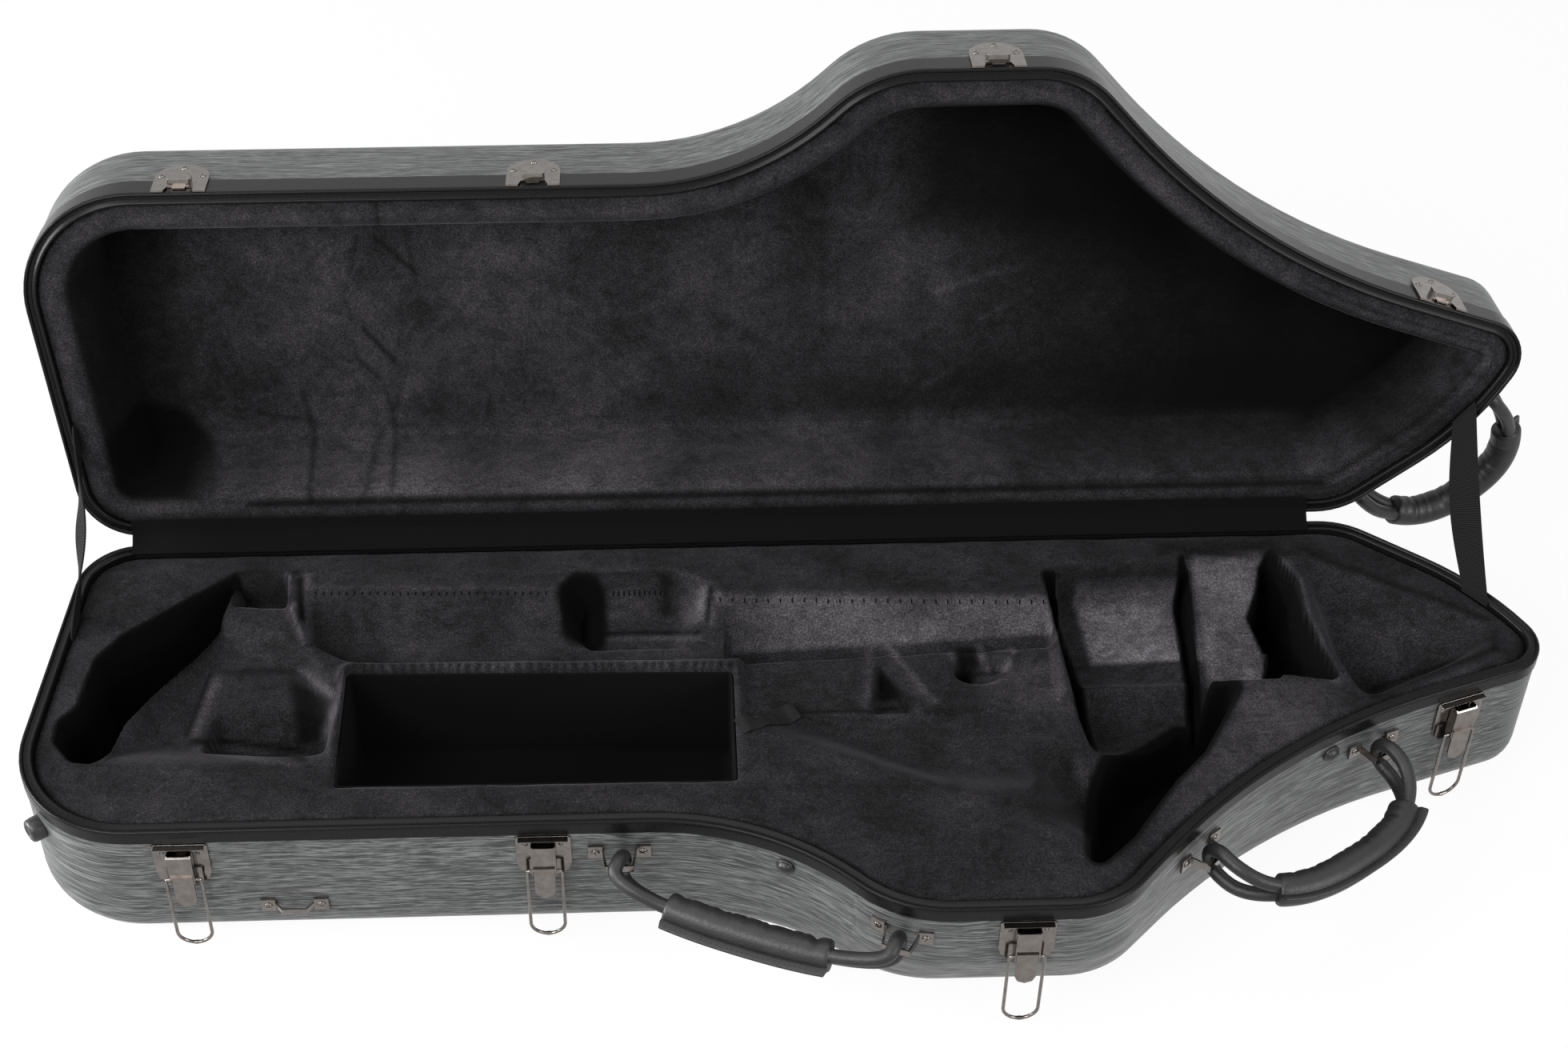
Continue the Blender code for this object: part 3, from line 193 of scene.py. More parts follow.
def shell_material():
    """Dark grey moulded shell with fine wavy streaks drawn out along the wall, as brushed on."""
    made = Shade("shell_streaked")
    wave = made.noise(made.place("UV", (9, 22, 1)), 1.0, 2.0, 1)
    offset = made.node("VectorMath", settings={"operation": "MULTIPLY"}, i0=wave, i1=(0.0, 0.014, 0.0))
    spot = made.node("VectorMath", settings={"operation": "ADD"}, i0=made.place("UV"), i1=offset)
    streaks = []
    for stretch in ((34, 820, 1), (75, 1700, 1), (10, 330, 1)):
        laid = made.node("Mapping", Vector=spot, Scale=stretch)
        streaks.append(made.noise(laid, 1.0, 3.0, Roughness=0.62))
    mixed = made.weighted(made.weighted(streaks[0], 0.55, streaks[1]), 0.8, streaks[2])
    colour = made.ramp(mixed, (0.45, (0.012, 0.0125, 0.0125, 1)), (0.50, (0.043, 0.045, 0.0445, 1)),
                       (0.548, (0.140, 0.144, 0.143, 1)))
    return made.set(Base_Color=colour, Metallic=0.15, Roughness=made.ramp(mixed, (0.40, 0.52), (0.60, 0.38)),
                    Coat_Weight=0.10, Coat_Roughness=0.35, Normal=made.bump(mixed, 0.0002, 0.5))


def plush_material():
    """Short black plush; a mesh attribute holds its tone with painted light and shade, which also weighs its
    sheen, over a fine broken grain.
    """
    made = Shade("plush_black")
    spot = made.place()
    # Tone with painted light and shade, from the mesh
    tone_and_painted_light = made.node("Attribute", 2, settings={"attribute_name": "tone_and_painted_light"})
    patches = made.noise(spot, 16.0, 5.0, Roughness=0.62, Distortion=0.8)
    strokes = made.noise(made.place("Object", (70, 240, 70), (0.2, 0.1, 0.6)), 1.0, 3.0)
    pile = made.noise(spot, 720.0, 3.0, Roughness=0.72)
    crush = made.noise(spot, 48.0, 6.0, Roughness=0.6, Distortion=1.8)
    brushed = made.weighted(made.weighted(patches, 0.7, strokes), 0.6, crush)
    brightness = made.times(made.ramp(brushed, (0.38, 0.36), (0.62, 1.0)),
                            made.ramp(pile, (0.34, 0.20), (0.50, 0.42), (0.66, 0.86)))
    lit = made.times(made.times(brightness, tone_and_painted_light), PLUSH_LEVEL)
    colour = made.node("CombineColor", Red=lit, Green=made.times(lit, 0.94), Blue=made.times(lit, 1.02))
    return made.set(Base_Color=colour, Roughness=0.95, Specular_IOR_Level=0.08,
                    Sheen_Weight=made.times(tone_and_painted_light, 0.07), Sheen_Roughness=0.36,
                    Sheen_Tint=(0.90, 0.86, 0.93, 1), Normal=made.bump(pile, 0.0008, 0.6))


def nickel_material():
    """Smoked nickel: warm dark grey metal, with soft variation and fine scratches."""
    made = Shade("smoked_nickel_bright")
    cloud = made.noise(made.place(), 160.0, 3.0)
    scratch = made.noise(made.place("Object", (400, 2400, 2400)), 1.0, 2.0)
    colour = made.ramp(cloud, (0.3, (0.150, 0.134, 0.122, 1)), (0.7, (0.205, 0.186, 0.172, 1)))
    return made.set(Base_Color=colour, Metallic=1.0, Roughness=made.ramp(scratch, (0.3, 0.12), (0.7, 0.20)),
                    Normal=made.bump(cloud, 0.00002, 0.1))


def leather_material():
    """Black grained leather with a soft gloss on its crests."""
    made = Shade("leather_black")
    spot = made.place()
    cells = made.node("TexVoronoi", Vector=spot, Scale=620.0, settings={"feature": "SMOOTH_F1"})
    waves = made.noise(spot, 55.0, 4.0)
    grain = made.weighted(cells, 0.6, waves)
    return made.set(Base_Color=made.ramp(waves, (0.3, grey(0.005)), (0.7, grey(0.010))),
                    Roughness=made.ramp(grain, (0.2, 0.38), (0.7, 0.56)), Specular_IOR_Level=0.42,
                    Normal=made.bump(grain, 0.0004, 0.5))


def grained_material(name, grain, tones, roughness, bump, specular=0.5):
    """A dark surface with a fine grain, whose roughness is one value or follows the grain between two."""
    made = Shade(name)
    fine = made.noise(made.place(), *grain)
    if isinstance(roughness, tuple):
        roughness = made.ramp(fine, *zip((0.3, 0.7), roughness))
    return made.set(Base_Color=made.ramp(fine, *zip((0.3, 0.7), map(grey, tones))), Roughness=roughness,
                    Specular_IOR_Level=specular, Normal=made.bump(fine, *bump))


def woven_material(name, direction, scale, distortion, tones, roughness, specular, bump):
    """A dark ribbed weave, whose ribs follow each other along one axis of the UV map."""
    made = Shade(name)
    ribs = made.node("TexWave", Vector=made.place("UV"), Scale=scale, Distortion=distortion,
                     settings={"bands_direction": direction})
    return made.set(Base_Color=made.ramp(ribs, *zip((0.2, 0.8), map(grey, tones))), Roughness=roughness,
                    Specular_IOR_Level=specular, Normal=made.bump(ribs, *bump))


def cloth_material(name, tones, roughness=0.95):
    return grained_material(name, (1400.0, 1.0), tones, roughness, (0.0002, 0.4), 0.1)


LOOKS = {
    "shell": shell_material(),
    "rim": grained_material("rim_black", (900.0, 2.0), (0.003, 0.006), (0.22, 0.32), (0.00005, 0.3), 0.12),
    "plush": plush_material(),
    # Black cloth, made darker than the plush as painted shade of the compartment's depth
    "black_cloth": cloth_material("liner_black_and_painted_shade", (0.0005, 0.0012)),
    "hinge_cloth": cloth_material("hinge_cloth_black", (0.0006, 0.0016)),
    # Dark thread for the seams' stitches, and painted shade for the screws' slots
    "stitch_and_slot_shade": cloth_material("stitch_black_and_slot_shade", (0.0010, 0.0022)),
    "thread": cloth_material("handle_thread", (0.018, 0.034), 0.6),
    "smoked_nickel": nickel_material(),
    "leather": leather_material(),
    "webbing": woven_material("webbing_black", "Y", 200.0, 0.4, (0.002, 0.011), 0.85, 0.12, (0.0003, 0.8)),
    "ribbon": woven_material("ribbon_grey", "X", 260.0, 0.6, (0.004, 0.010), 0.8, 0.15, (0.0002, 0.6)),
    "rubber": grained_material("rubber_black", (700.0, 3.0), (0.006, 0.011), (0.36, 0.50), (0.0001, 0.3)),
}


# Plan of the case

def meet(first, second):
    """Where two lines cross; each is a point and a direction."""
    (point, along), (other, across) = first, second
    turn = along.x * across.y - along.y * across.x
    gap = other - point
    return point + along * ((gap.x * across.y - gap.y * across.x) / turn)


def offset_corners(corners, inset):
    """The corners of an anticlockwise loop after all its sides have moved inward."""
    sides = []
    for index, corner in enumerate(corners):
        along = (corners[(index + 1) % len(corners)] - corner).normalized()
        sides.append((corner + Vector((-along.y, along.x)) * inset, along))
    return [meet(sides[index - 1], sides[index]) for index in range(len(sides))]


def fillet(before, corner, after, tangent, steps):
    """Points of the arc that rounds one corner, from this far before it to as far after it."""
    back = (before - corner).normalized()
    ahead = (after - corner).normalized()
    half_turn = (math.pi - back.angle(ahead)) / 2
    radius = tangent / math.tan(half_turn)
    centre = corner + (back + ahead).normalized() * radius / math.cos(half_turn)
    start = corner + back * tangent - centre
    sense = 1 if (-back).cross(ahead) > 0 else -1
    return [
        centre + Matrix.Rotation(sense * 2 * half_turn * step / steps, 2) @ start
        for step in range(steps + 1)
    ]


def arc_steps(corners, radii, chord):
    """How many sides draw the arc at each corner of a loop, within the chord error."""
    steps = []
    for index, radius in enumerate(radii):
        corner = Vector(corners[index])
        ahead = Vector(corners[(index + 1) % len(corners)]) - corner
        turn = math.pi - (Vector(corners[index - 1]) - corner).angle(ahead)
        steps.append(max(1, math.ceil(turn / (2 * math.acos(1 - min(chord / radius, 1))))))
    return steps


def tangents_of(corners, radii):
    """How far each arc reaches along its sides, shortened alike where two of them would meet."""
    count = len(corners)
    reaches = []
    for index, radius in enumerate(radii):
        back = corners[index - 1] - corners[index]
        ahead = corners[(index + 1) % count] - corners[index]
        reaches.append(radius * math.tan((math.pi - back.angle(ahead)) / 2))
    limits = []
    for index in range(count):
        following = (index + 1) % count
        side = (corners[following] - corners[index]).length * FILLET_SHARE
        limits.append(min(1.0, side / (reaches[index] + reaches[following])))
    return [reach * min(limits[index - 1], limits[index]) for index, reach in enumerate(reaches)]


def rounded(corners, radii, inset, steps):
    """An anticlockwise loop with rounded corners, moved inward; its point count stays the same."""
    corners = [Vector(corner) for corner in corners]
    moved = offset_corners(corners, inset)
    count = len(moved)
    drawn = []
    for index, radius in enumerate(radii):
        ahead = corners[(index + 1) % count] - corners[index]
        inward = (corners[index] - corners[index - 1]).cross(ahead) > 0
        drawn.append(max(radius - inset if inward else radius + inset, LEAST_FILLET))
    points = []
    for index, tangent in enumerate(tangents_of(moved, drawn)):
        points += fillet(moved[index - 1], moved[index], moved[(index + 1) % count], tangent, steps[index])
    return points


def outline(inset=0.0, sink=0.0, chord=OUTLINE_CHORD):
    """The case's outline at the seam, moved inward, with the bell's front drawn back by sink."""
    corners = [(x_share * LENGTH, -forward_share * WIDTH) for x_share, forward_share, _ in OUTLINE_SHARES]
    radii = [radius_share * WIDTH for _, _, radius_share in OUTLINE_SHARES]
    steps = arc_steps(corners, radii, chord)
    for index in BELL_CORNERS:
        corners[index] = (corners[index][0], corners[index][1] + sink)
    return rounded(corners, radii, inset, steps)


def ring(inset, z, sink=0.0):
    return [Vector((point.x, point.y, z)) for point in outline(inset, sink)]


def seated(spot, along, z, out=0.0):
    """A frame on the wall: local X runs along the wall, -Y points out and Z is up."""
    inward = Vector((-along.y, along.x))
    made = Matrix.Identity(4)
    made.col[0][:3] = (along.x, along.y, 0)
    made.col[1][:3] = (inward.x, inward.y, 0)
    made.translation = (spot.x - inward.x * out, spot.y - inward.y * out, z)
    return made


def wall_frame(x, z, back=False, out=0.0):
    """Where a piece seats on the front or back wall at x."""
    points = outline(chord=SEAT_CHORD)
    best = None
    for start, end in zip(points, points[1:] + points[:1]):
        if min(start.x, end.x) <= x < max(start.x, end.x):
            spot = start.lerp(end, (x - start.x) / (end.x - start.x))
            if best is None or (spot.y > best[0].y) == back:
                best = (spot, (end - start).normalized())
    return seated(*best, z, out)


def end_frame(forward, z):
    """Where a piece seats on the left end, this far forward."""
    points = outline()
    for start, end in zip(points, points[1:]):
        if start.x < 0 and start.y >= -forward > end.y:
            spot = start.lerp(end, (start.y + forward) / (start.y - end.y))
            return seated(spot, (end - start).normalized(), z)


# Meshes

def new_object(name, mesh, look):
    made = bpy.data.objects.new(name, mesh)
    bpy.context.scene.collection.objects.link(made)
    mesh.materials.append(LOOKS[look] if isinstance(look, str) else look)
    return made


def settle(item, matrix, body, stands_for=()):
    """Puts a piece that was drawn in the seam frame in its place, on its body."""
    item.data.transform(matrix)
    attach(item, body)
    if stands_for:
        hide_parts(*stands_for)


def turn_faces_out(mesh):
    shape = bmesh.new()
    shape.from_mesh(mesh)
    bmesh.ops.recalc_face_normals(shape, faces=shape.faces)
    shape.to_mesh(mesh)
    shape.free()


def smooth_but(mesh, sharp):
    """Smooth shading, with edges kept that turn by more than this many degrees."""
    mesh.shade_smooth()
    mesh.set_sharp_from_angle(angle=math.radians(sharp))


def loft(name, rings, look, closed=False, sharp=40.0):
    """A surface through rings of equal length, with a UV map that holds true lengths in metres."""
    count = len(rings[0])
    points = [point for one in rings for point in one]
    spans = len(rings) if closed else len(rings) - 1
    faces, uvs = [], []
    around = [0.0]
    for index in range(count):
        around.append(around[-1] + (rings[0][(index + 1) % count] - rings[0][index]).length)
    up = [0.0]
    measured = range(0, count, 7)
    for index in range(spans):
        ahead = rings[(index + 1) % len(rings)]
        up.append(up[-1] + sum((ahead[i] - rings[index][i]).length for i in measured) / len(measured))
    for level in range(spans):
        low, high = level * count, ((level + 1) % len(rings)) * count
        for index in range(count):
            following = (index + 1) % count
            faces.append((low + index, low + following, high + following, high + index))
            uvs += [(around[index], up[level]), (around[index + 1], up[level]),
                    (around[index + 1], up[level + 1]), (around[index], up[level + 1])]
    if not closed:
        last = (len(rings) - 1) * count
        for end in (range(count)[::-1], range(last, last + count)):
            faces.append(tuple(end))
            uvs += [(points[i].x, points[i].y) for i in end]
    mesh = bpy.data.meshes.new(name)
    mesh.from_pydata(points, [], faces)
    layer = mesh.uv_layers.new(name="UVMap")
    layer.data.foreach_set("uv", np.array(uvs, np.float32).ravel())
    mesh.validate()
    turn_faces_out(mesh)
    smooth_but(mesh, sharp)
    return new_object(name, mesh, look)


def wall_rings(height, straight, wall, sink, up):
    """Rings down the wall from below the rim to the floor, this far inside the shell's outer face."""
    levels = []
    if sink:
        for step in range(SINK_STEPS + 1):
            lower = (straight - BELL_STRAIGHT) * step / SINK_STEPS
            levels.append((BELL_STRAIGHT + lower, wall, sink * lower / (height - BELL_STRAIGHT)))
    else:
        levels.append((straight, wall, 0.0))
    for step in range(1, EDGE_STEPS + 1):
        angle = math.pi / 2 * step / EDGE_STEPS
        depth = straight + (height - wall - straight) * math.sin(angle)
        outer_depth = straight + (height - straight) * math.sin(angle)
        drawn = sink * (outer_depth - BELL_STRAIGHT) / (height - BELL_STRAIGHT) if sink else 0.0
        levels.append((depth, wall + (EDGE_INSET - wall) * (1 - math.cos(angle)), drawn))
    return [ring(inset, up * depth, drawn) for depth, inset, drawn in levels]


def shell(name, half, rim_height):
    """One half's shell, from its outer floor up to the rim and back down inside."""
    height, straight, sink, up = half
    top = up * (rim_height + GAP)
    outer = [ring(0.0, top)] + wall_rings(height, straight, 0.0, sink, up)
    inner = [ring(SHELL_WALL, top)] + wall_rings(height, straight, SHELL_WALL, sink, up)
    return loft(name, outer[::-1] + inner, "shell")


def arc(inset, radius, start, end, steps):
    """Points of a bead's arc in a rim's section, as an inset and a depth; the bead touches the seam."""
    made = []
    for step in range(steps + 1):
        angle = math.radians(start + (end - start) * step / steps)
        made.append((inset + radius * math.cos(angle), SEAM_GAP + radius + radius * math.sin(angle)))
    return made


def rim(name, up, height, shoulder, bead, groove, lip):
    """One half's trim: a rounded outer bead, a groove and a smaller inner bead, each at its depth."""
    bead_radius, bead_end = bead
    lip_radius, lip_start = lip
    section = [(-RIM_PROUD, height), (-RIM_PROUD, SEAM_GAP + shoulder)]
    section += arc(-RIM_PROUD + bead_radius, bead_radius, 180, bead_end, 7)
    section += [(inset, SEAM_GAP + depth) for inset, depth in groove]
    section += arc(RIM_WIDTH - lip_radius, lip_radius, lip_start, 360, 6)
    section.append((RIM_WIDTH, height))
    return loft(name, [ring(inset, up * depth) for inset, depth in section], "rim", closed=True)


# Each half's height, how much of its wall is straight, how far the bell's front is drawn back, and its side
BASE_HALF = (BASE_HEIGHT, BASE_STRAIGHT, BELL_SINK, -1)
LID_HALF = (LID_HEIGHT, LID_STRAIGHT, 0.0, 1)

settle(shell("shell_base", BASE_HALF, BASE_RIM_HEIGHT), SEAM, "base", ["base_shell"])
settle(shell("shell_lid", LID_HALF, LID_RIM_HEIGHT), LID, "lid", ["lid_shell"])
settle(rim("rim_base", -1, BASE_RIM_HEIGHT, 0.0045, (0.0018, 300), ((0.0022, 0.0012), (0.0050, 0.0014)),
           (0.0016, 250)), SEAM, "base", ["base_rim"])
settle(rim("rim_lid", 1, LID_RIM_HEIGHT, 0.0040, (0.0016, 310), ((0.0022, 0.0019), (0.0046, 0.0020)),
           (0.0014, 230)), LID, "lid", ["lid_rim"])


# Plush, drawn as height fields over the plan: places are (x, forward) in metres from the hinge

def flat(points):
    """Points of any kind as rows of two numbers."""
    return np.array([(point[0], point[1]) for point in points])


def from_line(spots, start, end):
    """The share along a line that is nearest to each spot, and the square of the distance to it."""
    along = end - start
    share = np.clip(((spots - start) @ along) / (along @ along), 0, 1)
    gap = spots - start - share[:, None] * along
    return share, (gap ** 2).sum(axis=1)


def signed_distance(spots, loop):
    """Distance from each spot to a closed loop, negative inside, with the nearest side and share along it."""
    loop = flat(loop)
    nearest = np.full(len(spots), np.inf)
    side = np.zeros(len(spots), int)
    along_side = np.zeros(len(spots))
    inside = np.zeros(len(spots), bool)
    for index, (start, end) in enumerate(zip(loop, np.roll(loop, -1, axis=0))):
        share, square = from_line(spots, start, end)
        closer = square < nearest
        nearest = np.where(closer, square, nearest)
        side = np.where(closer, index, side)
        along_side = np.where(closer, share, along_side)
        if start[1] != end[1]:
            along = end - start
            crosses = (start[1] > spots[:, 1]) != (end[1] > spots[:, 1])
            inside ^= crosses & (spots[:, 0] < start[0] + along[0] * (spots[:, 1] - start[1]) / along[1])
    return np.where(inside, -1, 1) * np.sqrt(nearest), side, along_side


def eased(share):
    share = np.clip(share, 0, 1)
    return share * share * (3 - 2 * share)


def loop_of(corners, radius=0.0):
    """An anticlockwise loop from places, with its corners rounded."""
    points = [Vector((x, -forward)) for x, forward in corners]
    if sum(a.cross(b) for a, b in zip(points, points[1:] + points[:1])) < 0:
        points.reverse()
    if not radius:
        return points
    return rounded(points, [radius] * len(points), 0.0, [5] * len(points))


def well(spots, corners, depth, run, radius):
    """Depth of a steep pocket of any outline, and its painted shade, which starts just outside its edge."""
    distance = signed_distance(spots, loop_of(corners, radius))[0]
    soft = max(0.0030, run * 0.4)
    return depth * eased(-distance / run), eased((soft * 1.25 - distance - 0.0008) / soft)


def dish(spots, corners, depth, runs, slope):
    """Depth of a convex pocket whose sides slope down, each over its own run; slope deepens it forward."""
    points = flat(corners) * (1, -1)
    middle = points.mean(axis=0)
    falls = 0
    for start, end, run in zip(points, np.roll(points, -1, axis=0), runs):
        along = (end - start) / np.linalg.norm(end - start)
        inward = np.array((-along[1], along[0]))
        if (middle - start) @ inward < 0:
            inward = -inward
        falls += np.exp(-np.clip(((spots - start) @ inward) / run, -1, 3) / DISH_BLEND)
    share = eased(-DISH_BLEND * np.log(falls))
    return (depth + slope * (points[:, 1].max() - spots[:, 1])) * share


def ridge(spots, start, end, width):
    """1 along a straight line, fading to 0 over a width to either side."""
    return np.exp(-from_line(spots, *(flat((start, end)) * (1, -1)))[1] / width ** 2)


def patch(spots, corners, soft):
    """1 inside a loop, fading to 0 at its edge over a soft width."""
    return eased(0.5 - signed_distance(spots, loop_of(corners))[0] / soft)


def oval(spots, x, forward, wide, long):
    """0 in the middle of an oval and 1 on its edge, from its place and its two half sizes."""
    return np.hypot(*((spots - (x, -forward)) / (wide, long)).T)


def wobble(spots, wave, seed):
    """A smooth unevenness about 0, mostly within 1 either way."""
    draw = np.random.default_rng(seed)
    total = np.zeros(len(spots))
    for _ in range(WOBBLE_WAVES):
        angle, phase, size = draw.uniform(0, math.tau), draw.uniform(0, math.tau), draw.uniform(0.6, 1.7)
        towards = np.array((math.cos(angle), math.sin(angle)))
        total += np.sin(spots @ towards * math.tau / (wave * size) + phase)
    return total / math.sqrt(WOBBLE_WAVES)


# Steep pockets of the base: corners, depth, run of the wall and corner radius
WELLS = {
    "trench": (((-0.450, 0.038), (-0.474, 0.056), (-0.500, 0.077), (-0.532, 0.103), (-0.550, 0.128),
                (-0.557, 0.178), (-0.570, 0.192), (-0.570, 0.213), (-0.554, 0.234), (-0.536, 0.236),
                (-0.527, 0.222), (-0.519, 0.195), (-0.502, 0.166), (-0.474, 0.122), (-0.458, 0.092),
                (-0.447, 0.040)), 0.104, 0.008, 0.010),
    "key_hole": (((-0.187, 0.066), (-0.176, 0.049), (-0.158, 0.050), (-0.157, 0.092), (-0.170, 0.106),
                  (-0.183, 0.096)), 0.066, 0.022, 0.010),
    "block_slot": (((0.203, 0.053), (0.216, 0.053), (0.229, 0.150), (0.234, 0.203), (0.217, 0.203),
                    (0.210, 0.150)), 0.090, 0.007, 0.004),
    "saddle_slot": (((0.317, 0.040), (0.327, 0.038), (0.325, 0.120), (0.320, 0.203), (0.309, 0.203),
                     (0.314, 0.120)), 0.090, 0.006, 0.004),
    "bell_gap": (((0.389, 0.026), (0.381, 0.058), (0.370, 0.083), (0.380, 0.118), (0.370, 0.171),
                  (0.424, 0.180), (0.4147, 0.143), (0.409, 0.103), (0.4095, 0.0694),
                  (0.397, 0.040)), 0.104, 0.007, 0.005),
    "bell_pit": (((0.349, 0.178), (0.307, 0.249), (0.281, 0.277), (0.241, 0.331), (0.213, 0.357),
                  (0.203, 0.353), (0.206, 0.326), (0.214, 0.290), (0.222, 0.250), (0.246, 0.214),
                  (0.300, 0.176)), 0.106, 0.014, 0.008),
}
# Softer forms: corners, depth, the run of each side from its first corner on, and the slope forward
DISHES = (
    (((-0.462, 0.074), (-0.404, 0.074), (-0.384, 0.118), (-0.352, 0.134), (-0.360, 0.238), (-0.410, 0.247),
      (-0.545, 0.242), (-0.500, 0.150)), 0.020, (0.008, 0.012, 0.016, 0.010, 0.030, 0.045, 0.02, 0.02), 0.0),
    (((-0.449, 0.036), (-0.407, 0.036), (-0.404, 0.078), (-0.449, 0.074)), 0.034,
     (0.006, 0.006, 0.007, 0.004), 0.0),
    (((-0.454, 0.146), (-0.390, 0.146), (-0.363, 0.171), (-0.365, 0.226), (-0.378, 0.233), (-0.464, 0.218)),
     0.056, (0.052, 0.014, 0.008, 0.008, 0.012, 0.009), 0.0),
    (((-0.392, 0.058), (-0.055, 0.066), (-0.055, 0.146), (-0.352, 0.142), (-0.386, 0.118)), 0.019,
     (0.046, 0.004, 0.020, 0.014, 0.006), 0.0),
    (((-0.060, 0.066), (0.206, 0.083), (0.206, 0.130), (-0.060, 0.142)), 0.036,
     (0.058, 0.004, 0.006, 0.006), 0.0),
    (((-0.176, 0.043), (-0.088, 0.044), (-0.066, 0.060), (-0.066, 0.104), (-0.078, 0.118), (-0.166, 0.119),
      (-0.188, 0.094), (-0.188, 0.062)), 0.032,
     (0.024, 0.026, 0.034, 0.022, 0.010, 0.010, 0.010, 0.010), 0.0),
    (((-0.047, 0.126), (0.208, 0.120), (0.208, 0.204), (-0.047, 0.204)), 0.010,
     (0.005, 0.010, 0.004, 0.005), 0.0),
    (((-0.047, 0.202), (0.250, 0.180), (0.270, 0.240), (0.210, 0.335), (0.120, 0.292), (-0.047, 0.283)),
     0.012, (0.006, 0.010, 0.020, 0.030, 0.050, 0.046), 0.10),
    (((0.060, 0.130), (0.101, 0.198), (0.049, 0.200)), 0.026, (0.010, 0.010, 0.010), 0.0),
    (((0.214, 0.048), (0.322, 0.048), (0.322, 0.190), (0.218, 0.190)), 0.050,
     (0.004, 0.004, 0.060, 0.004), 0.0),
    (((0.206, 0.106), (0.322, 0.106), (0.320, 0.190), (0.290, 0.262), (0.206, 0.262)), 0.060,
     (0.060, 0.006, 0.010, 0.070, 0.030), 0.0),
    (((0.140, 0.205), (0.300, 0.205), (0.292, 0.262), (0.214, 0.352), (0.160, 0.310)), 0.052,
     (0.060, 0.010, 0.010, 0.060, 0.070), 0.0),
    (((0.322, 0.030), (0.392, 0.028), (0.378, 0.177), (0.314, 0.177)), 0.014,
     (0.004, 0.004, 0.006, 0.004), 0.30),
    (((0.412, 0.036), (0.428, 0.036), (0.560, 0.118), (0.563, 0.138), (0.552, 0.152), (0.448, 0.201),
      (0.436, 0.196), (0.418, 0.140)), 0.052, (0.05, 0.075, 0.05, 0.04, 0.034, 0.02, 0.02, 0.030), 0.0),
)
# Raised lines: start, end, width and height
RIDGES = (
    ((-0.385, 0.053), (-0.190, 0.059), 0.0035, 0.0012),
    ((-0.062, 0.067), (0.203, 0.080), 0.0035, 0.0012),
    ((-0.409, 0.040), (-0.402, 0.080), 0.0030, 0.0040),
    ((-0.402, 0.080), (-0.389, 0.114), 0.0026, 0.0100),
    ((-0.392, 0.044), (-0.386, 0.112), 0.0030, 0.0030),
    ((-0.352, 0.150), (-0.358, 0.228), 0.0050, 0.0090),
    ((0.070, 0.134), (0.104, 0.194), 0.0034, 0.0020),
    ((0.396, 0.052), (0.404, 0.110), 0.0036, 0.0040),
    ((0.404, 0.110), (0.412, 0.165), 0.0036, 0.0040),
)
# Painted light and shade on the pile, at the places where the camera sees them against the top's plane:
# corners, soft width, factor, and how deep the pile is at least
PAINTED_LIGHT_PATCHES = (
    (((-0.390, 0.056), (-0.190, 0.060), (-0.060, 0.072), (-0.060, 0.150), (-0.352, 0.142)), 0.020, 1.25, -1),
    (((-0.062, 0.072), (0.204, 0.084), (0.206, 0.127), (-0.052, 0.142)), 0.010, 3.5, -1),
    (((-0.020, 0.072), (-0.070, 0.072), (-0.060, 0.144), (-0.010, 0.140)), 0.040, 0.75, -1),
    (((0.090, 0.072), (0.206, 0.084), (0.208, 0.127), (0.090, 0.132)), 0.060, 1.15, -1),
    (((0.146, 0.160), (0.208, 0.150), (0.212, 0.208), (0.140, 0.208)), 0.026, 1.7, -1),
    (((0.222, 0.054), (0.318, 0.052), (0.318, 0.092), (0.226, 0.096)), 0.008, 0.85, 0.004),
    (((0.224, 0.096), (0.318, 0.094), (0.316, 0.160), (0.230, 0.164)), 0.008, 7.0, 0.02),
    (((0.226, 0.150), (0.318, 0.150), (0.312, 0.215), (0.238, 0.225)), 0.050, 1.5, 0.02),
    (((0.326, 0.044), (0.388, 0.042), (0.374, 0.150), (0.360, 0.190), (0.318, 0.215)), 0.010, 4.9, 0.008),
    (((0.330, 0.150), (0.380, 0.150), (0.366, 0.240), (0.318, 0.240)), 0.060, 0.60, 0.008),
    (((0.420, 0.180), (0.352, 0.176), (0.300, 0.262), (0.250, 0.345), (0.300, 0.330), (0.420, 0.215)),
     0.03, 2.1, -1),
    (((-0.397, 0.158), (-0.364, 0.178), (-0.368, 0.226), (-0.384, 0.230)), 0.010, 0.12, -1),
    (((0.062, 0.156), (0.088, 0.194), (0.054, 0.196)), 0.008, 0.22, -1),
    (((0.124, 0.140), (0.140, 0.140), (0.139, 0.163), (0.124, 0.161)), 0.006, 0.20, -1),
    (((-0.187, 0.058), (-0.160, 0.050), (-0.157, 0.104), (-0.178, 0.108)), 0.010, 0.10, -1),
    (((-0.147, 0.062), (-0.112, 0.060), (-0.112, 0.100), (-0.147, 0.100)), 0.020, 1.5, -1),
    (((-0.090, 0.060), (-0.068, 0.064), (-0.070, 0.106), (-0.090, 0.104)), 0.012, 1.7, -1),
    (((0.420, 0.110), (0.500, 0.120), (0.470, 0.190), (0.425, 0.185)), 0.040, 1.45, -1),
    (((0.300, 0.022), (0.402, 0.022), (0.402, 0.040), (0.300, 0.040)), 0.014, 0.42, -1),
)
